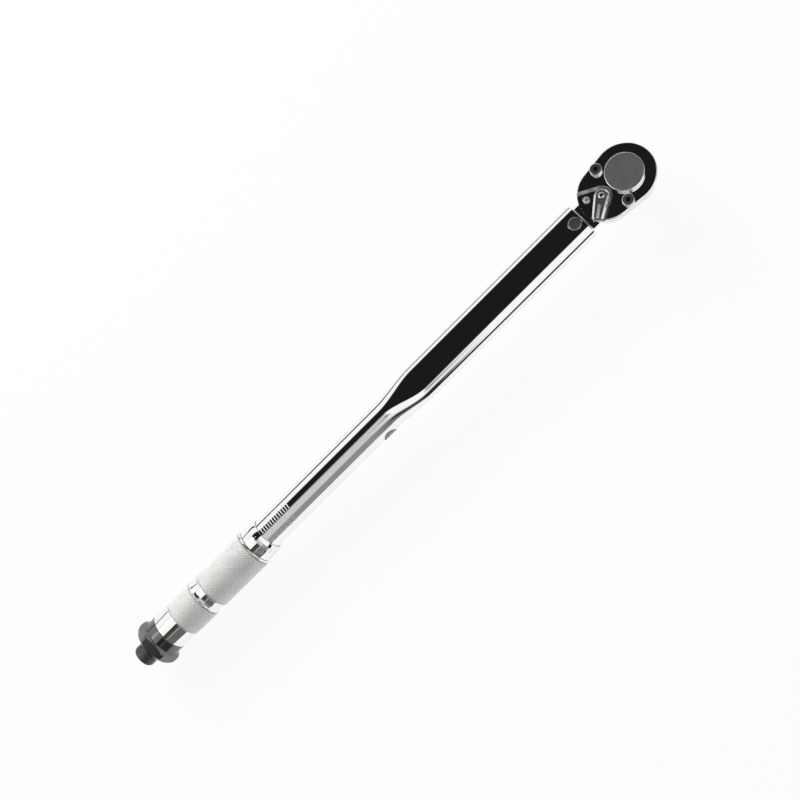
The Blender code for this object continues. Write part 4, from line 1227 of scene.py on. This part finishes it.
    def screws(self, tree: Tree) -> Piece:
        """Build the two socket screws as copies of one.

        Args:
            tree: the tree that sets copies in a row.

        Returns:
            The piece.
        """
        base = self.cover_top + 0.0002
        top = base + self.screw_height
        profile = filleted([(top, 0.0, 0.0), (top, self.screw_head - 0.0009, 0.0),
                            (top, self.screw_head, 0.0005), (base, self.screw_head, 0.0002),
                            (base, self.screw_shank, 0.0), (self.screw_foot, self.screw_shank, 0.0),
                            (self.screw_foot, 0.0, 0.0)], 5)
        piece = placed("cover_screws_socket", spun(profile, Axis.UPRIGHT, 64),
                       SATIN_STEEL, SOCKET_BLACK, BRIGHT_STEEL)
        carved(piece, Mode.CUT,
               upright_rod(self.socket_radius, 0, 0, top - self.socket_depth, top + 0.001, 6))
        for face in piece.data.polygons:
            middle = face.center
            reach = math.hypot(middle.x, middle.y)
            depth = AXIS_Z + top - middle.z
            if reach < self.socket_radius + 0.00005 and 1e-5 < depth < 0.002:
                face.material_index = 1
            else:
                face.material_index = 2 if reach > self.screw_head - 0.0004 else 0
        values = {"Copies": 2, "First": Vector((-self.screw_back, -self.screw_side, 0.0)),
                  "Stride": Vector((0, 2 * self.screw_side, 0)), "Material": SATIN_STEEL.material()}
        PatternTree.run(piece, tree, values)
        softened(piece, 0.00008)
        return dress(piece, "head", "satin_steel", "cover_screw_front", "cover_screw_rear")

    def gear(self) -> Piece:
        """Build the gear with its satin cap, hub and chamfered square.

        Returns:
            The piece.
        """
        top = self.cover_top + self.cap_height
        profile = filleted([(top, 0.0, 0.0), (top, self.cap_radius - 0.0009, 0.0),
                            (top, self.cap_radius, 0.00045), (self.gear_high, self.cap_radius, 0.0),
                            (self.gear_high, self.hub_radius, 0.0), (self.hub_low, self.hub_radius, 0.0004),
                            (self.hub_low, 0.0, 0.0)], 5)
        piece = placed("drive_gear_capped", spun(profile, Axis.UPRIGHT, 160), SATIN_CAP, CHROME, BARE_STEEL)
        half, chamfer = self.square / 2, self.square_chamfer
        levels = [(self.square_high, 0.0), (self.square_low + chamfer, 0.0), (self.square_low, chamfer)]
        corners = ((1, -1), (1, 1), (-1, 1), (-1, -1))
        square = lofted([[station(sx * (half - inset), sy * (half - inset), z) for sx, sy in corners]
                         for z, inset in levels])
        wheel = layered(lambda _: self.teeth(), [(self.gear_low, 0.0), (self.gear_high, 0.0)])
        carved(piece, Mode.JOIN, wheel, square)
        carved(piece, Mode.CUT, rod(self.ball_radius + self.gap, station(-half / 2, 0, self.ball_z),
                                    station(2 * half, 0, self.ball_z), 48))
        for face in piece.data.polygons:
            middle = face.center
            reach = math.hypot(middle.x, middle.y)
            if middle.z < AXIS_Z + 0.004:
                face.material_index = 2
            elif reach > self.cap_radius - 0.0006:
                face.material_index = 1
        softened(piece, 0.00025)
        return dress(piece, "drive", "satin_steel", "drive_gear")

    def teeth(self) -> Outline:
        """Return the ratchet wheel's outline.

        Returns:
            The outline's points.
        """
        pitch = 2 * math.pi / self.gear_teeth
        tip, root = self.gear_tip, self.gear_root
        outline = []
        for tooth in range(self.gear_teeth):
            for radius, offset in ((root, -0.4), (tip, -0.1), (tip, 0.1), (root, 0.4)):
                angle = (tooth + offset) * pitch
                outline.append((radius * math.cos(angle), radius * math.sin(angle)))
        return outline

    def ball(self) -> Piece:
        """Build the bright ball in the square's side.

        Returns:
            The piece.
        """
        work = bmesh.new()
        centre = station(self.square / 2 + self.ball_proud - self.ball_radius, 0.0, self.ball_z)
        bmesh.ops.create_uvsphere(work, u_segments=40, v_segments=24, radius=self.ball_radius,
                                  matrix=Matrix.Translation(centre))
        piece = placed("drive_ball_bright", work, BRIGHT_STEEL)
        return dress(settled(piece), "drive_ball", "bare_steel", "drive_ball")

    def build(self, tree: Tree) -> None:
        """Build all the head's pieces.

        Args:
            tree: the tree that sets copies in a row.
        """
        self.forging()
        self.cover()
        self.detents()
        self.screws(tree)
        self.gear()
        self.ball()


@dataclass
class ReversingLever:
    """The flip lever with its bevels and thumb rib, and its riveted shaft."""

    pivot_x: float = -0.0192
    swing: float = math.radians(36.0)
    nose: float = 0.0048
    length: float = 0.0155
    tip_radius: float = 0.0019
    tip_half_width: float = 0.0036
    hub_z: float = 0.0058
    arm_z: float = 0.0065
    top: float = 0.0094
    bevel: float = 0.0013
    rib_height: float = 0.0012
    rib_width: float = 0.0017
    rib_start: float = 0.0062
    neck: float = 0.0022
    barrel: float = 0.0030
    barrel_top: float = 0.0041
    barrel_low: float = -0.0042
    foot: float = 0.0019
    foot_low: float = -0.0067

    def outline(self, inset: float) -> Outline:
        """Return the lever's outline, pointing to -X.

        Args:
            inset: how far it is drawn in.

        Returns:
            The outline's points.
        """
        tip_x = self.pivot_x - self.length + self.tip_radius
        tip_y = self.tip_half_width - self.tip_radius
        return belt([(self.pivot_x, 0.0, self.nose - inset, 48),
                     (tip_x, tip_y, self.tip_radius - inset, 10),
                     (tip_x, -tip_y, self.tip_radius - inset, 10)])

    def swung(self, piece: Piece) -> Piece:
        """Turn a piece's mesh to the lever's rest position.

        Args:
            piece: the object.

        Returns:
            The same object.
        """
        pivot = Matrix.Translation(station(self.pivot_x, 0.0, 0.0))
        piece.data.transform(pivot @ Matrix.Rotation(self.swing, 4, "Z") @ pivot.inverted())
        return piece

    def tongue(self) -> Piece:
        """Build the lever.

        Returns:
            The piece.
        """
        levels = [(self.arm_z, 0.0004), (self.arm_z + 0.0002, 0.0), (self.top - self.bevel, 0.0),
                  (self.top, self.bevel)]
        piece = placed("reversing_lever_tongue", layered(self.outline, levels), LEVER_STEEL, BRIGHT_STEEL)
        hub = upright_rod(self.nose - 0.0007, self.pivot_x, 0.0, self.hub_z, self.arm_z + 0.001)
        half = self.rib_width / 2
        rear_x = self.pivot_x - self.length + self.bevel + half
        front_x = self.pivot_x - self.rib_start
        rib = layered(lambda inset: belt([(x, 0.0, half - inset, 12) for x in (rear_x, front_x)]),
                      [(self.top - self.bevel, 0.0), (self.top + 0.6 * self.rib_height, 0.0002),
                       (self.top + self.rib_height, 0.00055)])
        carved(piece, Mode.JOIN, hub, rib)
        carved(piece, Mode.CUT, upright_rod(self.neck + 0.0001, self.pivot_x, 0.0, 0.0, CLEAR, 48))
        for face in piece.data.polygons:
            face.material_index = 1 if 0.3 < face.normal.z < 0.95 else 0
        softened(piece, 0.00015)
        return dress(self.swung(piece), "lever", "satin_chrome", "reversing_lever")

    def shaft(self) -> Piece:
        """Build the shaft with its bright riveted end.

        Returns:
            The piece.
        """
        top = self.top + 0.0008
        neck = self.neck - 0.0001
        profile = filleted([(top, 0.0, 0.0), (top, 0.0017, 0.0012), (self.top + 0.0001, neck, 0.0002),
                            (self.barrel_top, neck, 0.0), (self.barrel_top, self.barrel, 0.0002),
                            (self.barrel_low, self.barrel, 0.0), (self.barrel_low, self.foot, 0.0),
                            (self.foot_low, self.foot, 0.0002), (self.foot_low, 0.0, 0.0)], 5)
        skin = spun(profile, Axis.UPRIGHT, 48, (self.pivot_x, 0.0))
        piece = placed("lever_shaft_rivet", skin, BRIGHT_STEEL)
        return dress(self.swung(settled(piece)), "lever", "bare_steel", "lever_shaft")

    def build(self) -> None:
        """Build the lever's pieces."""
        self.tongue()
        self.shaft()


@dataclass
class TwistGrip:
    """The knurled sleeve with its groove and band, and the graduated collar."""

    bore: float = 0.0114
    radius: float = 0.0140
    band_radius: float = 0.0138
    groove_radius: float = 0.0133
    front_x: float = -0.3336
    groove_front_x: float = -0.3765
    groove_rear_x: float = -0.3821
    band_front_x: float = -0.4045
    rear_x: float = -0.4170
    wall_front_x: float = -0.4040
    wall_rear_x: float = -0.4120
    screw_bore: float = 0.0062
    knurl_depth: float = 0.00042
    knurl_step: float = 0.00080
    knurl_around: int = 56
    collar_front_x: float = -0.3217
    collar_rear_x: float = -0.3334
    collar_radius: float = 0.0131
    collar_bevel: float = 0.0009
    collar_bevel_length: float = 0.0026
    collar_strokes: int = 14
    edge: float = 0.0004
    land: float = 0.0010
    foot: float = 0.0012

    def sleeve(self) -> Piece:
        """Build the sleeve under the knurl, its floor between the diamonds coloured darker as painted shade.

        Returns:
            The piece.
        """
        deep = self.radius - self.knurl_depth
        edge, land, foot = self.edge, self.land, self.foot
        profile = filleted([(self.front_x, self.bore, 0.0), (self.front_x, self.radius - edge, 0.0003),
                            (self.front_x - edge, self.radius, 0.0002),
                            (self.front_x - land, self.radius, 0.0), (self.front_x - foot, deep, 0.0),
                            (self.groove_front_x + foot, deep, 0.0),
                            (self.groove_front_x + land, self.radius, 0.0),
                            (self.groove_front_x + edge, self.radius, 0.0002),
                            (self.groove_front_x, self.groove_radius, 0.0003),
                            (self.groove_rear_x, self.groove_radius, 0.0003),
                            (self.groove_rear_x - edge, self.radius, 0.0002),
                            (self.groove_rear_x - land, self.radius, 0.0),
                            (self.groove_rear_x - foot, deep, 0.0), (self.band_front_x + 0.0008, deep, 0.0),
                            (self.band_front_x + 0.0006, self.radius, 0.0),
                            (self.band_front_x + 0.0002, self.radius, 0.0001),
                            (self.band_front_x, self.band_radius, 0.0),
                            (self.rear_x, self.band_radius, 0.0002), (self.rear_x, self.bore, 0.0),
                            (self.wall_rear_x, self.bore, 0.0), (self.wall_rear_x, self.screw_bore, 0.0),
                            (self.wall_front_x, self.screw_bore, 0.0), (self.wall_front_x, self.bore, 0.0)])
        piece = placed("grip_sleeve", spun(profile, segments=160), CHROME, KNURL_GROOVE_SHADE)
        middle = (land + foot) / 2
        # the knurled stretches take the darker groove colour, painted shade between the diamonds
        for face in piece.data.polygons:
            x = face.center.x
            front = self.groove_front_x + middle < x < self.front_x - middle
            rear = self.band_front_x + 0.0007 < x < self.groove_rear_x - middle
            face.material_index = 1 if front or rear else 0
        return dress(settled(piece), "handle", "knurled_chrome", "handle_sleeve")

    def knurl(self, tree: Tree, label: str, start: float,
              end: float) -> Piece:
        """Raise the diamonds of one knurled stretch.

        Args:
            tree: the knurl tree.
            label: front or rear.
            start: the stretch's first station.
            end: its last station.

        Returns:
            The piece.
        """
        rows = int((end - start - 2 * self.knurl_step) / self.knurl_step)
        values = {"Start": start + self.knurl_step * 1.5, "Step": self.knurl_step, "Rows": rows,
                  "Around": self.knurl_around, "Radius": self.radius, "Height": self.knurl_depth,
                  "Axis Height": AXIS_Z, "Material": KNURL_CHROME.material()}
        piece = PatternTree.run(empty_piece(f"grip_knurl_{label}"), tree, values, KNURL_SHARP)
        return dress(piece, "handle", "knurled_chrome")

    def collar(self) -> Piece:
        """Build the graduated collar.

        Returns:
            The piece.
        """
        bevel_x = self.collar_front_x - self.collar_bevel_length
        profile = filleted([(self.collar_front_x, self.bore, 0.0),
                            (self.collar_front_x, self.collar_radius - self.collar_bevel, 0.0003),
                            (bevel_x, self.collar_radius, 0.0008),
                            (self.collar_rear_x, self.collar_radius, 0.0002),
                            (self.collar_rear_x, self.bore, 0.0)])
        piece = placed("scale_collar_ring", spun(profile, segments=160), CHROME)
        return dress(settled(piece), "handle", "satin_chrome", "scale_collar")

    def collar_marks(self, tree: Tree) -> Piece:
        """Engrave the collar's strokes and numbers, with a ringed zero.

        Args:
            tree: the stroke tree.

        Returns:
            The strokes and numbers.
        """
        radius = self.collar_radius
        turn = 2 * math.pi / self.collar_strokes
        start = math.radians(36.0)
        front = self.collar_front_x - self.collar_bevel_length
        x = front - 0.0056
        row = {"count": self.collar_strokes, "step_turn": turn, "radius": radius}
        rows = [strokes("collar_strokes", tree, INKED, start=front - 0.0016, turn=start, length=0.0026,
                        width=0.0004, **row),
                strokes("collar_half_strokes", tree, INKED, start=front - 0.0010, turn=start + turn / 2,
                        length=0.0014, width=0.0003, **row)]
        for number in range(2, self.collar_strokes, 2):
            rows.append(wrapped_number(f"collar_number_{number}", INKED, str(number), x,
                                       start + turn * number, 0.0030, radius))
        zero = [wrapped_number("collar_zero", ETCHED, "0", x, start, 0.0022, radius),
                wrapped_number("collar_zero_ring", ETCHED, "O", x, start, 0.0046, radius)]
        dress(merged("collar_zero_mark", zero), "handle", "black_oxide")
        return dress(merged("collar_graduations", rows), "handle", "black_oxide")

    def build(self, knurl: Tree, marks: Tree) -> None:
        """Build all the grip's pieces.

        Args:
            knurl: the knurl tree.
            marks: the stroke tree.
        """
        self.sleeve()
        self.knurl(knurl, "front", self.groove_front_x + 0.0008, self.front_x - 0.0008)
        self.knurl(knurl, "rear", self.band_front_x + 0.0004, self.groove_rear_x - 0.0008)
        self.collar()
        self.collar_marks(marks)


@dataclass
class EndLock:
    """The dark hexagonal cap and the knurled lock knob."""

    spigot_x: float = -0.4122
    front_x: float = -0.4172
    hex_front_x: float = -0.4244
    hex_rear_x: float = -0.4306
    rear_x: float = -0.4346
    spigot_radius: float = 0.0112
    ring_radius: float = 0.0138
    corner_radius: float = 0.0165
    rear_radius: float = 0.0108
    across_flats: float = 0.0296
    front_chamfer: float = 0.0016
    roll: float = math.radians(-14.0)
    bore: float = 0.0042
    knob_front_x: float = -0.4348
    knob_rear_x: float = -0.4441
    knob_radius: float = 0.0078
    knob_edge: float = 0.0012
    stem_radius: float = 0.0039
    stem_front_x: float = -0.4145
    knurl_depth: float = 0.0003
    knurl_step: float = 0.00062
    knurl_rows: int = 11
    knurl_around: int = 40

    def cap(self) -> Piece:
        """Build the cap: a ring, then a hexagon turned down at both ends.

        Returns:
            The piece.
        """
        profile = filleted([(self.spigot_x, self.bore, 0.0), (self.spigot_x, self.spigot_radius, 0.0),
                            (self.front_x, self.spigot_radius, 0.0), (self.front_x, self.ring_radius, 0.0004),
                            (self.hex_front_x, self.ring_radius, 0.0006),
                            (self.hex_front_x - self.front_chamfer, self.corner_radius, 0.0012),
                            (self.hex_rear_x, self.corner_radius, 0.0030),
                            (self.rear_x, self.rear_radius, 0.0006), (self.rear_x, self.bore, 0.0)], 6)
        piece = placed("end_cap_hexagon", spun(profile, segments=144), GUNMETAL)
        radius = self.across_flats / math.sqrt(3.0)
        angles = [self.roll + k * math.pi / 3 + math.pi / 6 for k in range(6)]
        rings = [[station(x, radius * math.sin(angle), radius * math.cos(angle)) for angle in angles]
                 for x in (self.spigot_x + 0.002, self.rear_x - 0.002)]
        carved(piece, Mode.KEEP, lofted(rings))
        softened(piece, 0.00045, segments=3, angle=12.0)
        return dress(piece, "handle", "dark_nickel", "end_cap")

    def knob(self) -> Piece:
        """Build the lock knob and its stem.

        Returns:
            The piece.
        """
        deep = self.knob_radius - self.knurl_depth
        profile = filleted([(self.stem_front_x, 0.0, 0.0), (self.stem_front_x, self.stem_radius, 0.0003),
                            (self.knob_front_x, self.stem_radius, 0.0), (self.knob_front_x, deep, 0.0005),
                            (self.knob_rear_x + 0.0006, deep, 0.0010),
                            (self.knob_rear_x, deep - 2 * self.knob_edge, 0.0012),
                            (self.knob_rear_x, 0.0, 0.0)], 6)
        piece = placed("lock_knob_core", spun(profile, segments=96), BLACKENED)
        return dress(settled(piece), "lock_knob", "black_oxide", "lock_knob")

    def knurl(self, tree: Tree) -> Piece:
        """Raise the knob's diamonds.

        Args:
            tree: the knurl tree.

        Returns:
            The piece.
        """
        values = {"Start": self.knob_rear_x + 0.0019, "Step": self.knurl_step, "Rows": self.knurl_rows,
                  "Around": self.knurl_around, "Radius": self.knob_radius, "Height": self.knurl_depth,
                  "Axis Height": AXIS_Z, "Material": WORN_BLACK.material()}
        piece = PatternTree.run(empty_piece("lock_knob_knurl"), tree, values, KNURL_SHARP)
        return dress(piece, "lock_knob", "black_oxide")

    def build(self, tree: Tree) -> None:
        """Build the cap, the knob and its knurl.

        Args:
            tree: the knurl tree.
        """
        self.cap()
        self.knob()
        self.knurl(tree)


@dataclass(frozen=True)
class CoilSpring:
    """A coil spring copied from the frame's solid to ride on a body."""

    node: str
    body: str
    joint: str
    along: int
    travel: float
    held_high: bool = False

    def build(self, nodes: dict[str, Piece]) -> Piece:
        """Copy the spring's solid and let it ride on its body.

        Args:
            nodes: the frame's nodes by name.

        Returns:
            The piece.
        """
        work = bmesh.new()
        work.from_mesh(nodes[self.node].data)
        bmesh.ops.remove_doubles(work, verts=work.verts, dist=1e-7)
        piece = settled(placed(f"{self.node}_coil", work, SPRING_WIRE), sharp=40.0)
        dress(piece, self.body, "spring_steel", self.node)
        low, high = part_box(self.node)
        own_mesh(piece)
        return piece


@dataclass
class InnerWorks:
    """The hidden pieces, which keep their CAD shapes and get proper metals."""

    metals: dict[str, MetalFinish] = field(default_factory=lambda: {
        "pawl": BARE_STEEL, "pawl_plunger": BARE_STEEL, "pawl_spring": SPRING_WIRE,
        "calibration_screw": BLACKENED, "calibration_nut": BARE_STEEL, "tilt_block": BARE_STEEL,
        "thrust_plunger": BARE_STEEL,
        "spring_seat": BARE_STEEL, "thrust_ball": BRIGHT_STEEL, "adjusting_screw": BARE_STEEL,
        "adjusting_nut": BRASS, "grip_pin": BARE_STEEL, "lock_pin": BARE_STEEL})
    springs: tuple[CoilSpring, ...] = (
        CoilSpring("main_spring", "tube", "seat_slide", 0, 0.0280, True),
        CoilSpring("drive_ball_spring", "drive", "drive_ball_press", 0, 0.0009),
        CoilSpring("detent_spring_front", "head", "detent_front_press", 2, 0.0006),
        CoilSpring("detent_spring_rear", "head", "detent_rear_press", 2, 0.0006))

    def build(self, nodes: dict[str, Piece]) -> None:
        """Give each hidden node its metal and set in copies of the springs.

        Args:
            nodes: the frame's nodes by name.
        """
        for name, finish in self.metals.items():
            nodes[name].data.materials.clear()
            nodes[name].data.materials.append(finish.material())
            LOG.info("%s keeps its solid", name)
        for spring in self.springs:
            spring.build(nodes)


# Studio

WHITE: Colour = (1.0, 1.0, 1.0)
PALE: Colour = (0.62, 0.62, 0.61)
GREY: Colour = (0.28, 0.28, 0.28)
DIM: Colour = (0.10, 0.09, 0.08)
BLACK: Colour = (0.011, 0.011, 0.012)
BROWN: Colour = (0.030, 0.018, 0.012)
SOFTBOX: Colour = (2.2, 2.2, 2.2)
SMOKE: Colour = (0.13, 0.13, 0.125)
SAND: Colour = (0.45, 0.43, 0.38)

# The room's tones by the angle from overhead, in degrees from -Y to +Y
FAR_WALL = [(4.5, BROWN), (9, BLACK), (32, BLACK), (39, BROWN), (41, DIM), (43.5, WHITE), (76, WHITE),
            (77, BLACK), (88, BLACK), (89, WHITE)]
HEAD_ROOM = [(-92, WHITE), (-89, BLACK), (-71, BLACK), (-69, WHITE), (2.0, WHITE), *FAR_WALL]
MIDDLE_ROOM = [(-92, BROWN), (-52, BROWN), (-47, PALE), (-36, WHITE), (-28, PALE), (-14, DIM),
               (-12.5, PALE), (-5, WHITE), (-3, DIM), (-1.5, PALE), (2.0, GREY), *FAR_WALL]
GRIP_ROOM = [(-92, WHITE), (-85, WHITE), (-83, GREY), (-44, GREY), (-41, PALE), (-4, PALE), (-2, DIM),
             (-1, PALE), (2.0, GREY), *FAR_WALL]
TAIL_ROOM = [(-92, SMOKE), (-42, SMOKE), (-40, SAND), (-37.5, SAND), (-35.5, DIM), (-11, BROWN), (-9, WHITE),
             (16, WHITE), (22, SOFTBOX), (32, SOFTBOX), (38, PALE), (44, WHITE), (75, WHITE), (76, GREY),
             (84, GREY), (85, WHITE)]
FRONT_ROOM = [(-92, WHITE), (-60, WHITE), (-50, SMOKE), (50, SMOKE), (60, WHITE)]

# Where along the tool each room takes over from the one before: its start, the fade's run and the room
ROOM_FADES = ((-0.03, -0.07, MIDDLE_ROOM), (-0.13, -0.05, GRIP_ROOM), (-0.325, -0.03, TAIL_ROOM),
              (0.5, 0.1, FRONT_ROOM))


@dataclass
class Studio:
    """The pale floor, the soft surroundings, the lamp and the camera."""

    camera_place: tuple[float, float, float] = (-0.1036584, -0.1826608, 0.6713805)
    camera_turn: tuple[float, float, float] = (0.1046949, 0.2906716, -0.7488658)
    lens: float = 47.628
    tilt: float = math.radians(1.17)
    foot_x: float = -0.0055
    lamp_place: tuple[float, float, float] = (-0.25, 1.45, 0.80)
    lamp_target: tuple[float, float, float] = (-0.2, 0.0, 0.0)
    lamp_watts: float = 22.0
    lamp_size: float = 0.7
    floor_size: float = 3.0
    floor_tone: Colour = (0.86, 0.86, 0.86)
    floor_glow: float = 0.92
    floor_gap: float = 0.00005

    def surroundings(self) -> None:
        """Light the tool from a white room with dark bands, which the polished faces show."""
        world = bpy.data.worlds.new("studio_room")
        bpy.context.scene.world = world
        world.use_nodes = True
        graph = Graph(world.node_tree)
        along, across, up = graph.split(graph.add("ShaderNodeTexCoord", output="Generated"))
        place = across.angle_to(up) / (2 * math.pi) + 0.5
        room = self.tones(graph, place, HEAD_ROOM)
        for start, run, stops in ROOM_FADES:
            share = ((along - start) / run).clipped()
            room = graph.blend(share, room, self.tones(graph, place, stops))
        seen = graph.add("ShaderNodeLightPath", output="Is Camera Ray")
        colour = graph.blend(seen, room, (*WHITE, 1.0))
        light = graph.add("ShaderNodeBackground", None, {"Color": colour, "Strength": 1.0})
        graph.node("ShaderNodeOutputWorld", None, {"Surface": light})

    @staticmethod
    def tones(graph: Graph, place: Wire, stops: Sequence[tuple[float, Colour]]) -> Wire:
        """Return the room's tones from floor to floor across the tool.

        Args:
            graph: the world's graph.
            place: the angle from the zenith as a share of a turn.
            stops: the tones by angle in degrees, from -Y to +Y.

        Returns:
            The tones.
        """
        shares = [(0.5 + angle / 360, tone) for angle, tone in stops]
        return graph.add("ShaderNodeValToRGB", {"stops": shares}, {"Fac": place})

    def floor(self) -> Piece:
        """Lay the floor under the square and the cap, which both touch it.

        Returns:
            The floor.
        """
        work = bmesh.new()
        bmesh.ops.create_grid(work, x_segments=1, y_segments=1, size=self.floor_size)
        material = bpy.data.materials.new("studio_floor")
        material.use_nodes = True
        graph = Graph(material.node_tree)
        path = graph.node("ShaderNodeLightPath")
        seen = Wire(graph, path.outputs["Is Camera Ray"]) + Wire(graph, path.outputs["Is Glossy Ray"])
        paper = graph.add("ShaderNodeBsdfDiffuse", None, {"Color": (*self.floor_tone, 1.0)})
        glow = graph.add("ShaderNodeEmission", None, {"Color": (*WHITE, 1.0), "Strength": 1.0})
        share = (seen * self.floor_glow).clipped()
        surface = graph.add("ShaderNodeMixShader", None, {0: share, 1: paper, 2: glow})
        graph.node("ShaderNodeOutputMaterial", None, {"Surface": surface})
        floor = placed("studio_floor", work)
        floor.data.materials.append(material)
        foot = Matrix.Translation((self.foot_x, 0.0, -self.floor_gap))
        floor.data.transform(foot @ Matrix.Rotation(self.tilt, 4, "Y"))
        return floor

    def lamp(self) -> None:
        """Hang one broad soft lamp."""
        data = bpy.data.lights.new("soft_key", "AREA")
        data.energy = self.lamp_watts
        data.size = self.lamp_size
        lamp = bpy.data.objects.new("soft_key", data)
        lamp.location = self.lamp_place
        lamp.visible_glossy = False
        way = Vector(self.lamp_target) - lamp.location
        lamp.rotation_euler = way.to_track_quat("-Z", "Y").to_euler()
        bpy.context.scene.collection.objects.link(lamp)

    def camera(self) -> None:
        """Set the camera at the photograph's angle."""
        data = bpy.data.cameras.new("studio_camera")
        data.sensor_width = 36.0
        data.lens = self.lens
        data.clip_start = 0.01
        camera = bpy.data.objects.new("studio_camera", data)
        camera.location = self.camera_place
        camera.rotation_euler = Euler(self.camera_turn, "XYZ")
        bpy.context.scene.collection.objects.link(camera)
        bpy.context.scene.camera = camera

    def build(self) -> None:
        """Set up floor, light and camera."""
        bpy.context.scene.view_settings.view_transform = "Standard"
        self.surroundings()
        self.floor()
        self.lamp()
        self.camera()


def clear_scene() -> None:
    """Remove Blender's starting objects."""
    for item in list(bpy.data.objects):
        bpy.data.objects.remove(item, do_unlink=True)


def main() -> None:
    """Build the wrench's looks on its frame."""
    logging.basicConfig(level=logging.INFO, format="%(name)s: %(message)s")
    clear_scene()
    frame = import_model()
    Studio().build()
    knurl, marks, copies = knurl_tree(), mark_tree(), copy_tree()
    Tube().build(marks)
    RatchetHead().build(copies)
    ReversingLever().build()
    TwistGrip().build(knurl, marks)
    EndLock().build(knurl)
    InnerWorks().build(frame["nodes"])


if __name__ == "__main__":
    main()
